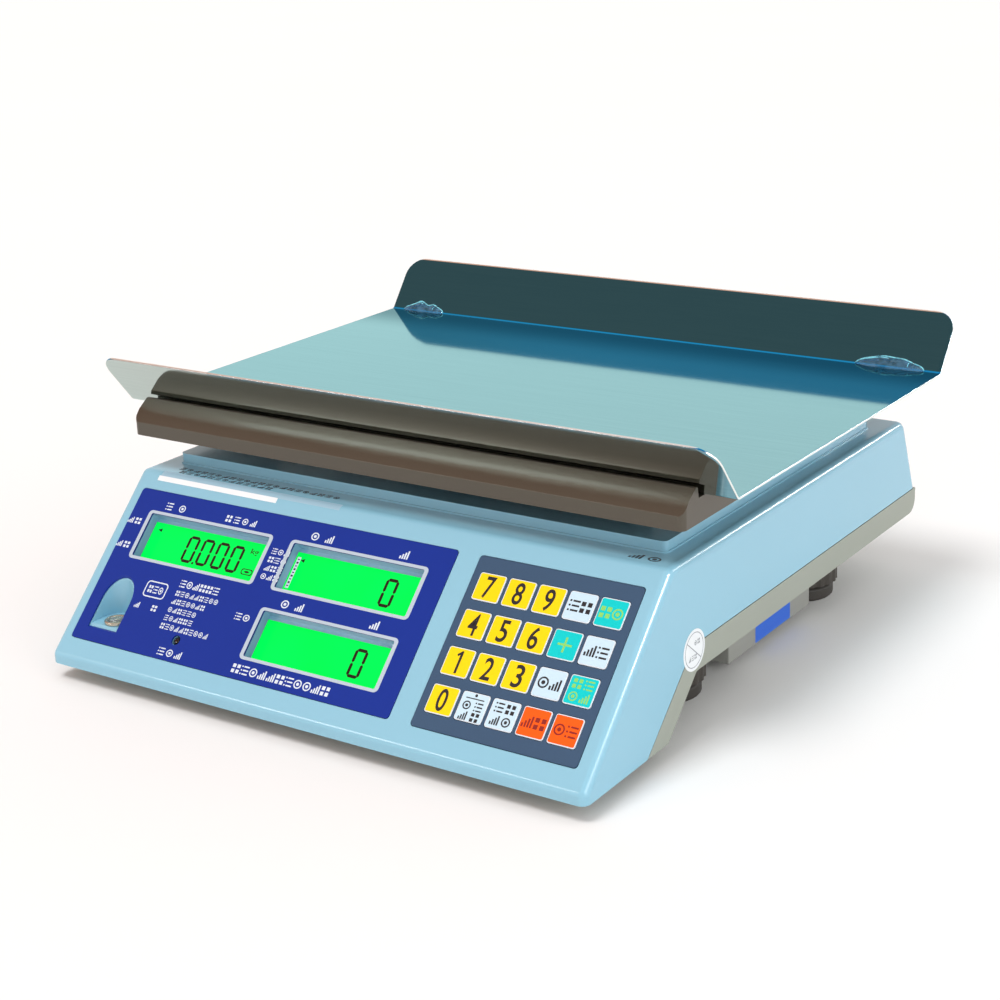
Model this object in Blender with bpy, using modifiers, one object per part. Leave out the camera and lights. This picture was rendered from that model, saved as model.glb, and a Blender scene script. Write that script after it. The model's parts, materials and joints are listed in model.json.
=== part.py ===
"""Retail price scale: a counter scale with a flanged stainless pan, three displays and a keypad.

Frame: metres, +Z up, the customer side at +Y and the operator's sloping panel at -Y.
The origin is on the surface the scale stands on, under the middle of its outline.
Every size below is in millimetres and is scaled to metres when a mesh is made.
"""
import math

import bmesh
import bpy
from mathutils import Matrix, Vector

MM = 0.001
GAP = 0.3                       # clearance between pieces that touch

# Housing side outline (Y, Z)
HALF_WIDTH = 173.5
FRONT_Y = -191.4
BACK_Y = 191.4                  # at the seam
CHIN_Z = 9.0
RIDGE_Z = 15.0
TOP_Z = 98.0
SLOPE_TOP_Y = -108.6
TOP_BACK_Y = 172.6
WALL = 2.5
SIDE_FILLET = 4.5

# Seam between the two shells, and the lower shell's underside
SEAM_Z = 51.5
SEAM_GAP = 0.6
SEAM_KINK_Y = -88.4
SEAM_CHIN_Y = -134.8
FLOOR_Z = 36.5
FLOOR_KINK_Y = -85.1
FLOOR_CHIN_Y = -114.0
FLOOR_CORNER = 8.0

# Plateau on the upper shell and its opening for the platform's post
PLATEAU_HALF_X = 160.0
PLATEAU_Y = (-90.4, 150.0)
PLATEAU_Z = 104.0
PLATEAU_CORNER = 3.0
PLATEAU_LEDGE = 0.9             # a small step round the plateau's foot, as wide as it is high
POST_X = 57.0
POST_SIZE = (32.0, 34.0)
POST_HOLE = (50.0, 48.0)

# Platform: pan, support, spider
PLATFORM_Y = 39.5
PAN_HALF_X = 197.4
PAN_HALF_FLAT = 125.5
PAN_Z = 131.3                   # upper face of the flat
PAN_SHEET = 1.2
PAN_BEND = 2.5
FLANGE_OUT = 24.0
FLANGE_UP = 30.6
FLANGE_CORNER = 13.0
SUPPORT_HALF_X = 178.5
SUPPORT_LIP_Y = 145.8
SUPPORT_LIP_Z = (116.9, 124.5)
SUPPORT_RIM_Y = 133.6
SUPPORT_RIM_Z = 135.6
SUPPORT_RIM_TOP = 2.0
SUPPORT_BREAK = 0.7             # how far the sloping face bows out along its middle line
SUPPORT_SHEET = 2.0
SUPPORT_CORNER = 3.5
SPIDER_Z = (106.0, 114.0)
SPIDER_REACH = (135.0, 88.0)
SPIDER_ARM = 24.0
BUMPER_RADIUS = 9.0

# Load cell and its block
CELL_LENGTH = 150.0
CELL_WIDTH = 38.0
CELL_Z = (56.0, 78.0)
CELL_BLOCK_LENGTH = 35.0

# Operator's panel, measured down the slope from its upper edge
OVERLAY_V = (11.6, 105.7)
DISPLAY_U = (-164.7, 54.6)
KEYPAD_U = (68.2, 163.9)
OVERLAY_CORNER = 2.0
OVERLAY_TOP = 0.3
OVERLAY_THICK = 1.0
WINDOW = (86.4, 26.7)
WINDOW_CENTRES = {"weight": (-106.8, 38.9), "unit_price": (-3.4, 39.0), "total": (-3.1, 79.4)}
WELL_DEPTH = 6.3
WELL_WALL = 2.0
LCD_THICK = 2.8
LED_UV = (-93.3, 93.4)
LED_RADIUS = 2.5
LED_LENGTH = 9.0

# Keys: five columns, four rows
KEY_COLUMNS = 5
KEY_PITCH_U = 17.75
KEY_PITCH_V = 20.55
KEY_FIRST = (80.4, 28.0)        # centre of the upper left key
KEY_SIZE = (15.8, 15.2)
KEY_CORNER = 1.2
KEY_TOP = 0.5
KEY_THICK = 1.5
KEY_NAMES = (
    "7", "8", "9", "quantity", "accumulate",
    "4", "5", "6", "add", "recall",
    "1", "2", "3", "change", "memory_clear",
    "0", "point", "price_clear", "zero", "tare",
)
KEYPAD_POCKET = 2.3
SWITCH_SHEET = (-2.1, -1.55)

# Spirit level in its pocket at the lower left of the panel
LEVEL_X = -146.0
LEVEL_RADIUS = 10.3
LEVEL_Y = -165.2
LEVEL_FLOOR_Z = 30.0
LEVEL_WALL = 2.2
VIAL_RADIUS = 7.0
VIAL_HEIGHT = 1.6
VIAL_OFFSET = (2.0, -2.4)      # from the middle of the pocket's round end

# Levelling feet
FOOT_X = 131.5
FOOT_DY = 81.8
PAD_RADIUS = 19.0
PAD_TOP = 9.0
WHEEL_RADIUS = 21.3
WHEEL_Z = (9.3, 21.0)
WHEEL_RIBS = 20
STUD_RADIUS = 4.0
STUD_TOP = 46.0
FOOT_BOSS_TOP = 50.5

# Battery and its compartment under the lower shell
BATTERY_BOX_X = (46.0, 150.0)
BATTERY_BOX_Y = (-6.0, 94.0)
BATTERY_BOX_Z = 4.4
BATTERY_SIZE = (94.0, 70.0, 47.0)

# Case screws
SCREW_X = 155.0
SCREW_YS = (-62.0, 158.0)
SCREW_SHAFT = 1.5
SCREW_HEAD = 3.5

# Rear wall fittings
REAR_Z = 74.0
SWITCH_X = -120.0
JACK_X = -88.0
SWITCH_SIZE = (15.0, 21.0)      # across, along the wall
SWITCH_HOLE = (10.4, 17.0)
ROCKER_TILT = math.radians(7.0)

# Bosses, load cell details and printed boards
BOSS_RADIUS = 5.0
FOOT_BOSS_RADIUS = 9.0
CELL_SLOT_HALF = (22.0, 7.0)    # half length and half height of the load cell's cut-out
BOARD_THICK = 1.6
MAIN_BOARD = ((-118.0, -76.0), (-8.0, 8.0))
BEZEL_TOP = 1.8
JACK_RADII = (2.9, 5.2, 6.6)    # bore, barrel and flange

# Construction
BEYOND = 5.0                    # how far a cutter runs past the face it opens
ROUND = 32                      # sides of a round piece


# ---------------------------------------------------------------- scene set-up

def clear_scene():
    for obj in list(bpy.data.objects):
        bpy.data.objects.remove(obj, do_unlink=True)


def new_collection(name):
    collection = bpy.data.collections.new(name)
    bpy.context.scene.collection.children.link(collection)
    return collection


def new_material(name, colour, roughness, metallic=0.0):
    material = bpy.data.materials.new(name)
    material.use_nodes = True
    shader = material.node_tree.nodes["Principled BSDF"]
    shader.inputs["Base Color"].default_value = (*colour, 1.0)
    shader.inputs["Roughness"].default_value = roughness
    shader.inputs["Metallic"].default_value = metallic
    return material


clear_scene()
PARTS = new_collection("retail_price_scale")
CUTTERS = new_collection("cutters")

LIGHT_BLUE = new_material("light_blue_abs", (0.42, 0.66, 0.78), 0.28)
BASE_GREY = new_material("base_grey_abs", (0.42, 0.46, 0.41), 0.5)
BOX_GREY = new_material("battery_box_grey", (0.40, 0.40, 0.37), 0.55)
DEEP_BLUE = new_material("display_overlay_blue", (0.012, 0.038, 0.28), 0.35)
SLATE = new_material("keypad_slate", (0.05, 0.12, 0.24), 0.4)
YELLOW = new_material("key_yellow", (1.0, 0.74, 0.02), 0.4)
PALE = new_material("key_pale", (0.62, 0.80, 0.88), 0.4)
TEAL = new_material("key_teal", (0.0, 0.55, 0.52), 0.4)
ORANGE = new_material("key_orange", (1.0, 0.15, 0.01), 0.4)
LCD_GREEN = new_material("lcd_green", (0.0, 1.0, 0.09), 0.2)
BOARD_GREEN = new_material("circuit_board", (0.02, 0.18, 0.06), 0.5)
ALUMINIUM = new_material("aluminium", (0.75, 0.76, 0.77), 0.35, 1.0)
CAST = new_material("cast_aluminium", (0.55, 0.56, 0.57), 0.5, 1.0)
STAINLESS = new_material("stainless_steel", (0.62, 0.72, 0.72), 0.18, 1.0)
SUPPORT_BROWN = new_material("support_brown_paint", (0.10, 0.08, 0.06), 0.35, 0.2)
BLACK = new_material("black_plastic", (0.025, 0.022, 0.02), 0.5)
RUBBER = new_material("black_rubber", (0.02, 0.02, 0.02), 0.8)
STEEL = new_material("zinc_steel", (0.6, 0.6, 0.58), 0.35, 1.0)
VIAL = new_material("level_vial", (0.55, 0.62, 0.35), 0.1)
LED_LENS = new_material("led_lens", (0.10, 0.02, 0.02), 0.2)
BATTERY_SHELL = new_material("battery_shell", (0.05, 0.05, 0.06), 0.5)

KEY_COLOURS = (
    YELLOW, YELLOW, YELLOW, PALE, TEAL,
    YELLOW, YELLOW, YELLOW, TEAL, PALE,
    YELLOW, YELLOW, YELLOW, PALE, TEAL,
    YELLOW, PALE, PALE, ORANGE, ORANGE,
)


# ------------------------------------------------------------- mesh and object helpers

def add_object(name, mesh, material=None, parent=None):
    """Link a mesh as a part when it has a material, otherwise as a hidden cutter."""
    obj = bpy.data.objects.new(name, mesh)
    if material:
        mesh.materials.append(material)
        PARTS.objects.link(obj)
    else:
        obj.display_type = "WIRE"
        obj.hide_render = True
        CUTTERS.objects.link(obj)
    obj.parent = parent
    return obj


def add_empty(name, location, tilt=0.0):
    """An empty frame at a place in millimetres, tilted about X."""
    empty = bpy.data.objects.new(name, None)
    empty.location = Vector(location) * MM
    empty.rotation_euler.x = tilt
    PARTS.objects.link(empty)
    return empty


def shade_round(mesh):
    mesh.shade_smooth()
    mesh.set_sharp_from_angle(angle=math.radians(35))


def arc_points(centre, radius, start, end, steps):
    """Points on an arc, angles in degrees."""
    turn = (math.radians(start + (end - start) * i / steps) for i in range(steps + 1))
    return [(centre[0] + radius * math.cos(a), centre[1] + radius * math.sin(a)) for a in turn]


def round_corners(points, radii, steps=4):
    """Replace each corner of a closed outline by an arc of its own radius, or keep it at 0."""
    outline = []
    count = len(points)
    for i, radius in enumerate(radii):
        here = Vector(points[i])
        if radius == 0:
            outline.append(tuple(here))
            continue
        before = (Vector(points[i - 1]) - here).normalized()
        after = (Vector(points[(i + 1) % count]) - here).normalized()
        half = before.angle(after) / 2
        setback = radius / math.tan(half)
        centre = here + (before + after).normalized() * (radius / math.sin(half))
        first = here + before * setback - centre
        sweep = first.angle_signed(here + after * setback - centre)
        for k in range(steps + 1):
            outline.append(tuple(centre + Matrix.Rotation(-sweep * k / steps, 2) @ first))
    return outline


def rectangle(centre, size, corner=0.0, steps=3):
    """A closed rectangular outline with equal round corners."""
    x, y = centre
    w, h = size[0] / 2, size[1] / 2
    points = [(x - w, y - h), (x + w, y - h), (x + w, y + h), (x - w, y + h)]
    return round_corners(points, [corner] * 4, steps)


def circle(centre, radius, sides=ROUND):
    return arc_points(centre, radius, 0, 360 - 360 / sides, sides - 1)


def plate(name, loops, low, high, material=None, parent=None):
    """A flat outline, with any further loops as holes, between two heights along local Z."""
    curve = bpy.data.curves.new(name, "CURVE")
    curve.dimensions = "2D"
    curve.fill_mode = "BOTH"
    curve.extrude = (high - low) / 2 * MM
    for loop in loops:
        spline = curve.splines.new("POLY")
        spline.points.add(len(loop) - 1)
        for point, (x, y) in zip(spline.points, loop):
            point.co = (x * MM, y * MM, 0.0, 1.0)
        spline.use_cyclic_u = True
    guide = bpy.data.objects.new(name + "_outline", curve)
    CUTTERS.objects.link(guide)
    bpy.context.view_layer.update()
    mesh = bpy.data.meshes.new_from_object(guide.evaluated_get(bpy.context.evaluated_depsgraph_get()))
    bpy.data.objects.remove(guide, do_unlink=True)
    shape = bmesh.new()
    shape.from_mesh(mesh)
    bmesh.ops.remove_doubles(shape, verts=shape.verts, dist=1e-6)
    bmesh.ops.recalc_face_normals(shape, faces=shape.faces)
    bmesh.ops.translate(shape, verts=shape.verts, vec=(0, 0, (low + high) / 2 * MM))
    shape.to_mesh(mesh)
    shape.free()
    mesh.name = name
    return add_object(name, mesh, material, parent)


def side_prism(name, outline, half_width, material=None):
    """A (Y, Z) outline extruded along X, equally to both sides."""
    obj = plate(name, [outline], -half_width, half_width, material)
    turn = Matrix(((0, 0, 1), (1, 0, 0), (0, 1, 0))).to_4x4()
    obj.data.transform(turn)
    return obj


def box(name, low, high, material=None, parent=None, bevel=0.0, segments=2):
    """A box between two corners, its edges rounded when a bevel is given."""
    low, high = Vector(low), Vector(high)
    size = (high - low) * MM
    shape = bmesh.new()
    bmesh.ops.create_cube(shape, size=1.0)
    bmesh.ops.scale(shape, vec=size, verts=shape.verts)
    if bevel:
        bmesh.ops.bevel(shape, geom=shape.edges[:], offset=bevel * MM, segments=segments,
                        profile=0.5, affect="EDGES")
    mesh = bpy.data.meshes.new(name)
    shape.to_mesh(mesh)
    shape.free()
    obj = add_object(name, mesh, material, parent)
    obj.location = (low + high) / 2 * MM
    if bevel:
        shade_round(mesh)
    return obj


def cylinder(name, radius, low, high, centre, material=None, parent=None, sides=ROUND):
    """An upright cylinder between two heights."""
    shape = bmesh.new()
    bmesh.ops.create_cone(shape, cap_ends=True, segments=sides, radius1=radius * MM,
                          radius2=radius * MM, depth=(high - low) * MM)
    mesh = bpy.data.meshes.new(name)
    shape.to_mesh(mesh)
    shape.free()
    obj = add_object(name, mesh, material, parent)
    obj.location = Vector((*centre, (low + high) / 2)) * MM
    shade_round(mesh)
    return obj


def turned(name, profile, material, sides=ROUND):
    """A (radius, height) profile, top to bottom, turned about Z."""
    mesh = bpy.data.meshes.new(name)
    points = [(r * MM, 0.0, z * MM) for r, z in profile]
    mesh.from_pydata(points, [(i, i + 1) for i in range(len(points) - 1)], [])
    obj = add_object(name, mesh, material)
    screw = obj.modifiers.new("turn", "SCREW")
    screw.steps = screw.render_steps = sides
    screw.use_merge_vertices = True
    screw.merge_threshold = 1e-5
    screw.use_smooth_shade = True
    return obj


def combine(obj, operation, *tools):
    """Cut or join other solids with a live Boolean each."""
    for tool in tools:
        modifier = obj.modifiers.new(tool.name, "BOOLEAN")
        modifier.operation = operation
        modifier.solver = "EXACT"
        modifier.object = tool


def cut(obj, *tools):
    combine(obj, "DIFFERENCE", *tools)


def join(obj, *tools):
    combine(obj, "UNION", *tools)


def round_end_loops(obj, half_width, offset, segments=3):
    """Fillet the edges round both ends of a side prism."""
    shape = bmesh.new()
    shape.from_mesh(obj.data)
    end_edges = [
        edge for edge in shape.edges
        if all(abs(abs(v.co.x) / MM - half_width) < 0.01 for v in edge.verts)
        and edge.verts[0].co.x * edge.verts[1].co.x > 0
        and not all(abs(face.normal.x) > 0.9 for face in edge.link_faces)
    ]
    bmesh.ops.bevel(shape, geom=end_edges, offset=offset * MM, segments=segments,
                    profile=0.5, affect="EDGES")
    shape.to_mesh(obj.data)
    shape.free()
    shade_round(obj.data)


# ------------------------------------------------------------------ local frames

def along(first, second, z):
    """Y on the straight line through two (Y, Z) points, at height z."""
    return first[0] + (second[0] - first[0]) * (z - first[1]) / (second[1] - first[1])


REAR_TOP = (TOP_BACK_Y, TOP_Z)
REAR_SEAM = (BACK_Y, SEAM_Z)
PANEL_TILT = math.atan2(TOP_Z - RIDGE_Z, SLOPE_TOP_Y - FRONT_Y)
REAR_TILT = -math.atan2(TOP_Z - SEAM_Z, BACK_Y - TOP_BACK_Y)

# Local X runs to the right, local Y up the slope and local Z out of the panel
PANEL = add_empty("panel_frame", (0, SLOPE_TOP_Y, TOP_Z), PANEL_TILT)
# Local Z runs out of the rear wall
REAR = add_empty("rear_frame", (0, along(REAR_TOP, REAR_SEAM, REAR_Z), REAR_Z), REAR_TILT)


def on_panel(u, v):
    """Panel coordinates: across, and down the slope from its upper edge."""
    return (u, -v)


def panel_rectangle(u_range, v_range, corner=0.0):
    centre = on_panel(sum(u_range) / 2, sum(v_range) / 2)
    return rectangle(centre, (u_range[1] - u_range[0], v_range[1] - v_range[0]), corner)


def window_outline(name, grow=0.0, corner=1.0):
    centre = on_panel(*WINDOW_CENTRES[name])
    return rectangle(centre, (WINDOW[0] + 2 * grow, WINDOW[1] + 2 * grow), corner)


def key_centre(index):
    row, column = divmod(index, KEY_COLUMNS)
    return on_panel(KEY_FIRST[0] + column * KEY_PITCH_U, KEY_FIRST[1] + row * KEY_PITCH_V)


# ------------------------------------------------------------------ upper shell

def housing_outline(inset):
    """The housing's side outline moved inward, run on below its lower edge."""
    def shifted(first, second):
        way = Vector(second) - Vector(first)
        inward = Vector((way.y, -way.x)).normalized() * inset
        return Vector(first) + inward, Vector(second) + inward

    low = -20.0
    corners = [(FRONT_Y, low), (FRONT_Y, RIDGE_Z), (SLOPE_TOP_Y, TOP_Z), REAR_TOP,
               (along(REAR_TOP, REAR_SEAM, low), low)]
    sides = [shifted(corners[i], corners[i + 1]) for i in range(len(corners) - 1)]
    points = [tuple(sides[0][0])]
    for before, after in zip(sides, sides[1:]):
        points.append(crossing(before, after))
    points.append(tuple(sides[-1][1]))
    return points


def crossing(first, second):
    """Where two straight lines in the side plane meet."""
    p, q = first[0], second[0]
    d, e = first[1] - first[0], second[1] - second[0]
    t = ((q.x - p.x) * e.y - (q.y - p.y) * e.x) / (d.x * e.y - d.y * e.x)
    return tuple(p + d * t)


def pocket_outline(grow):
    """The spirit level's pocket seen from above: a half circle with straight sides to the front."""
    radius = LEVEL_RADIUS + grow
    back = arc_points((LEVEL_X, LEVEL_Y), radius, 0, 180, 12)
    front = LEVEL_Y - LEVEL_RADIUS - 12.0
    return back + [(LEVEL_X - radius, front), (LEVEL_X + radius, front)]


def make_interior():
    """The upper shell's hollow, with the walls that stand inside it left out."""
    interior = side_prism("upper_interior", housing_outline(WALL), HALF_WIDTH - WALL)
    solids = [plate("pocket_wall", [pocket_outline(LEVEL_WALL)],
                    LEVEL_FLOOR_Z - LEVEL_WALL, 70)]
    for name in WINDOW_CENTRES:
        solids.append(plate(name + "_well_wall", [window_outline(name, WELL_WALL)],
                            -WELL_DEPTH, 5, parent=PANEL))
    backing = panel_rectangle((KEYPAD_U[0] - 3, KEYPAD_U[1] + 3), (OVERLAY_V[0] - 3, OVERLAY_V[1] + 3))
    solids.append(plate("keypad_backing", [backing], -KEYPAD_POCKET - 2.2, 5, parent=PANEL))
    for side in (-1, 1):
        for k, y in enumerate(SCREW_YS):
            solids.append(cylinder(f"screw_boss_{side}_{k}", BOSS_RADIUS, SEAM_Z + 0.5, TOP_Z + 3,
                                   (side * SCREW_X, y), sides=16))
    cut(interior, *solids)
    plateau = box("plateau_interior", (-PLATEAU_HALF_X + WALL, PLATEAU_Y[0] + WALL, TOP_Z - 8),
                  (PLATEAU_HALF_X - WALL, PLATEAU_Y[1] - WALL, PLATEAU_Z - WALL))
    return interior, plateau


def make_panel_openings():
    """Everything cut into the sloping panel from outside."""
    openings = [plate("display_pocket", [panel_rectangle((DISPLAY_U[0] - GAP, DISPLAY_U[1] + GAP),
                      (OVERLAY_V[0] - GAP, OVERLAY_V[1] + GAP), OVERLAY_CORNER)],
                      OVERLAY_TOP - OVERLAY_THICK - GAP, 5, parent=PANEL),
                plate("keypad_pocket", [panel_rectangle((KEYPAD_U[0] - GAP, KEYPAD_U[1] + GAP),
                      (OVERLAY_V[0] - GAP, OVERLAY_V[1] + GAP), OVERLAY_CORNER)],
                      -KEYPAD_POCKET - GAP, 5, parent=PANEL)]
    for name in WINDOW_CENTRES:
        openings.append(plate(name + "_opening", [window_outline(name)], -20, 6, parent=PANEL))
    openings.append(plate("led_opening", [circle(on_panel(*LED_UV), LED_RADIUS + GAP, 24)],
                          -10, 6, parent=PANEL))
    openings.append(plate("level_pocket", [pocket_outline(0.0)], LEVEL_FLOOR_Z, 75))
    return openings


def make_upper_housing():
    outline = round_corners(housing_outline(0.0), [0, 5, 6, 7, 0], 5)
    shell = side_prism("upper_housing", outline, HALF_WIDTH, LIGHT_BLUE)
    round_end_loops(shell, HALF_WIDTH, SIDE_FILLET)
    middle = (0, sum(PLATEAU_Y) / 2)
    for name, grow, top in (("plateau", 0.0, PLATEAU_Z), ("plateau_ledge", PLATEAU_LEDGE, TOP_Z + PLATEAU_LEDGE)):
        size = (2 * (PLATEAU_HALF_X + grow), PLATEAU_Y[1] - PLATEAU_Y[0] + 2 * grow)
        join(shell, plate(name, [rectangle(middle, size, PLATEAU_CORNER + grow)], TOP_Z - 2, top))
    cut(shell, *make_interior())
    cut(shell, *make_panel_openings())
    hole_x, hole_y = POST_HOLE
    cut(shell, box("post_hole", (POST_X - hole_x / 2, PLATFORM_Y - hole_y / 2, TOP_Z - 10),
                   (POST_X + hole_x / 2, PLATFORM_Y + hole_y / 2, PLATEAU_Z + 5)))
    below = [(300, SEAM_Z), (300, -60), (-300, -60), (-300, CHIN_Z), (SEAM_CHIN_Y, CHIN_Z),
             (SEAM_KINK_Y, SEAM_Z)]
    cut(shell, side_prism("below_seam", below, HALF_WIDTH + 30))
    for side in (-1, 1):
        for k, y in enumerate(SCREW_YS):
            cut(shell, cylinder(f"boss_hole_{side}_{k}", SCREW_SHAFT + GAP, SEAM_Z - 5,
                                SEAM_Z + 16, (side * SCREW_X, y), sides=16))
    w, h = SWITCH_SIZE
    cut(shell, plate("switch_opening", [rectangle((SWITCH_X, 0), (w - 2.0, h - 2.0))],
                     -10, 10, parent=REAR))
    cut(shell, plate("jack_opening", [circle((JACK_X, 0), 5.5, 24)], -10, 10, parent=REAR))
    return shell


# ------------------------------------------------------------------ lower shell

def make_lower_housing():
    seam = SEAM_Z - SEAM_GAP
    outline = round_corners(
        [(BACK_Y, seam), (SEAM_KINK_Y + SEAM_GAP, seam), (SEAM_CHIN_Y + SEAM_GAP, CHIN_Z),
         (FLOOR_CHIN_Y, CHIN_Z), (FLOOR_KINK_Y, FLOOR_Z), (BACK_Y, FLOOR_Z)],
        [0, 0, 0, 0, 3, FLOOR_CORNER])
    tray = side_prism("lower_housing", outline, HALF_WIDTH, BASE_GREY)
    hollow = [(BACK_Y - WALL, 80), (-230, 80), (-230, CHIN_Z + WALL),
              (FLOOR_CHIN_Y + 1.0, CHIN_Z + WALL), (FLOOR_KINK_Y + 1.0, FLOOR_Z + WALL),
              (BACK_Y - WALL, FLOOR_Z + WALL)]
    cut(tray, side_prism("lower_interior", round_corners(hollow, [0, 0, 0, 0, 0, 6]),
                         HALF_WIDTH - WALL))
    front_plate = box("front_plate", (-HALF_WIDTH + 3.2, -188.2, CHIN_Z + GAP),
                      (HALF_WIDTH - 3.2, FLOOR_CHIN_Y - 2, CHIN_Z + WALL - GAP))
    join(tray, front_plate)
    for side in (-1, 1):
        for end in (-1, 1):
            spot = (side * FOOT_X, PLATFORM_Y + end * FOOT_DY)
            join(tray, cylinder(f"foot_boss_{side}_{end}", FOOT_BOSS_RADIUS, FLOOR_Z + 1,
                                FOOT_BOSS_TOP, spot, sides=24))
            cut(tray, cylinder(f"foot_bore_{side}_{end}", STUD_RADIUS + GAP, FLOOR_Z - BEYOND,
                               FOOT_BOSS_TOP + BEYOND, spot, sides=24))
        for k, y in enumerate(SCREW_YS):
            cut(tray, cylinder(f"screw_hole_{side}_{k}", SCREW_SHAFT + GAP, FLOOR_Z - 5,
                               FLOOR_Z + 10, (side * SCREW_X, y), sides=16))
    (x0, x1), (y0, y1) = BATTERY_BOX_X, BATTERY_BOX_Y
    middle = (y0 + y1) / 2
    half = BATTERY_SIZE[1] / 2 + 2
    cut(tray, box("battery_opening", (x0 + 3, middle - half, FLOOR_Z - BEYOND),
                  (x1 - 3, middle + half, FLOOR_Z + 2 * BEYOND)))
    return tray


def make_battery():
    (x0, x1), (y0, y1) = BATTERY_BOX_X, BATTERY_BOX_Y
    cover = box("battery_cover", (x0, y0, BATTERY_BOX_Z), (x1, y1, FLOOR_Z - GAP), BOX_GREY)
    cut(cover, box("battery_cover_hollow", (x0 + 2, y0 + 2, BATTERY_BOX_Z + 2),
                   (x1 - 2, y1 - 2, FLOOR_Z + BEYOND)))
    x, y = (x0 + x1) / 2, (y0 + y1) / 2
    w, d, h = BATTERY_SIZE
    z = BATTERY_BOX_Z + 2 + GAP
    box("battery", (x - w / 2, y - d / 2, z), (x + w / 2, y + d / 2, z + h), BATTERY_SHELL, bevel=1.5)


# ------------------------------------------------------------------ platform

def pan_section():
    """The pan's bent sheet in side view, about the platform's middle."""
    half = PAN_HALF_FLAT
    slope = Vector((FLANGE_OUT, FLANGE_UP)).normalized()
    normal = Vector((slope.y, -slope.x))
    tip = Vector((half, PAN_Z)) + slope * math.hypot(FLANGE_OUT, FLANGE_UP)
    under_tip = tip + normal * PAN_SHEET
    lean = math.atan2(slope.y, slope.x) / 2
    under_corner = half + PAN_SHEET * math.tan(lean)
    inner, outer = PAN_BEND, PAN_BEND + PAN_SHEET
    points = [(-tip.x, tip.y), (-half, PAN_Z), (half, PAN_Z), (tip.x, tip.y),
              (under_tip.x, under_tip.y), (under_corner, PAN_Z - PAN_SHEET),
              (-under_corner, PAN_Z - PAN_SHEET), (-under_tip.x, under_tip.y)]
    outline = round_corners(points, [0, inner, inner, 0, 0, outer, outer, 0], 4)
    return [(y + PLATFORM_Y, z) for y, z in outline]


def make_pan():
    pan = side_prism("pan", pan_section(), PAN_HALF_X, STAINLESS)
    shape = bmesh.new()
    shape.from_mesh(pan.data)
    top = max(v.co.z for v in shape.verts)
    corners = [
        edge for edge in shape.edges
        if all(v.co.z > top - PAN_SHEET * MM for v in edge.verts)
        and all(abs(v.co.x) > (PAN_HALF_X - 0.01) * MM for v in edge.verts)
        and edge.verts[0].co.x * edge.verts[1].co.x > 0
    ]
    bmesh.ops.bevel(shape, geom=corners, offset=FLANGE_CORNER * MM, segments=7,
                    profile=0.5, affect="EDGES")
    shape.to_mesh(pan.data)
    shape.free()
    shade_round(pan.data)


def support_outline(inset):
    """Side outline of the support's skin, moved inward for its hollow."""
    lip, rim = SUPPORT_LIP_Y - inset, SUPPORT_RIM_Y - 0.6 * inset
    low, high = SUPPORT_LIP_Z
    floor = PAN_Z - PAN_SHEET - GAP
    rim_inner = SUPPORT_RIM_Y - SUPPORT_RIM_TOP
    if inset:
        half = [(lip, low - 10), (lip, high - 0.4 * inset), (rim_inner, floor - inset)]
    else:
        bow = ((lip + rim) / 2 + SUPPORT_BREAK, (high + SUPPORT_RIM_Z) / 2 + SUPPORT_BREAK)
        half = [(lip, low), (lip, high), bow, (rim, SUPPORT_RIM_Z), (rim_inner, SUPPORT_RIM_Z),
                (rim_inner - 1.0, floor)]
    outline = half + [(-y, z) for y, z in reversed(half)]
    return [(y + PLATFORM_Y, z) for y, z in outline]


def make_support():
    radii = [0, 0.8, 0, 0.8, 0.4, 0.4, 0.4, 0.4, 0.8, 0, 0.8, 0]
    support = side_prism("platter_support", round_corners(support_outline(0.0), radii, 2),
                         SUPPORT_HALF_X, SUPPORT_BROWN)
    corners = [plate(f"support_corner_{side}_{end}", [corner_outline(side, end)], 100, 128.0)
               for side in (-1, 1) for end in (-1, 1)]
    cut(support, side_prism("support_hollow", support_outline(SUPPORT_SHEET),
                            SUPPORT_HALF_X - SUPPORT_SHEET))
    cut(support, *corners)
    shade_round(support.data)


def corner_outline(side, end):
    """A corner cutter that leaves a round vertical edge on the support's lip."""
    r = SUPPORT_CORNER
    x = side * (SUPPORT_HALF_X - r)
    y = PLATFORM_Y + end * (SUPPORT_LIP_Y - r)
    arc = [(x + side * r * math.sin(math.radians(a)), y + end * r * math.cos(math.radians(a)))
           for a in range(0, 91, 15)]
    far = (x + side * 3 * r, y + end * 3 * r)
    return arc + [(far[0], arc[-1][1]), far, (arc[0][0], far[1])]


def make_spider():
    low, high = SPIDER_Z
    reach = math.hypot(*SPIDER_REACH)
    arms = []
    for k, side in enumerate((1, -1)):
        arm = box("spider" if k == 0 else "spider_arm", (-reach - 12, -SPIDER_ARM / 2, low + 0.4 * k),
                  (reach + 12, SPIDER_ARM / 2, high - 0.4 * k), CAST if k == 0 else None)
        arm.location.y += PLATFORM_Y * MM
        arm.rotation_euler.z = side * math.atan2(SPIDER_REACH[1], SPIDER_REACH[0])
        arms.append(arm)
    spider = arms[0]
    join(spider, arms[1])
    join(spider, box("spider_hub", (-62, PLATFORM_Y - 32, low - 0.6), (80, PLATFORM_Y + 32, high - 1.0)))
    w, d = POST_SIZE
    join(spider, box("spider_post", (POST_X - w / 2, PLATFORM_Y - d / 2, CELL_Z[1] + GAP),
                     (POST_X + w / 2, PLATFORM_Y + d / 2, high - 2.0)))
    number = 1
    for sx in (-1, 1):
        for sy in (-1, 1):
            spot = (sx * SPIDER_REACH[0], PLATFORM_Y + sy * SPIDER_REACH[1])
            cylinder(f"bumper_{number}", BUMPER_RADIUS, high + GAP,
                     PAN_Z - PAN_SHEET - SUPPORT_SHEET - 2 * GAP, spot, RUBBER, sides=20)
            number += 1


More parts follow.
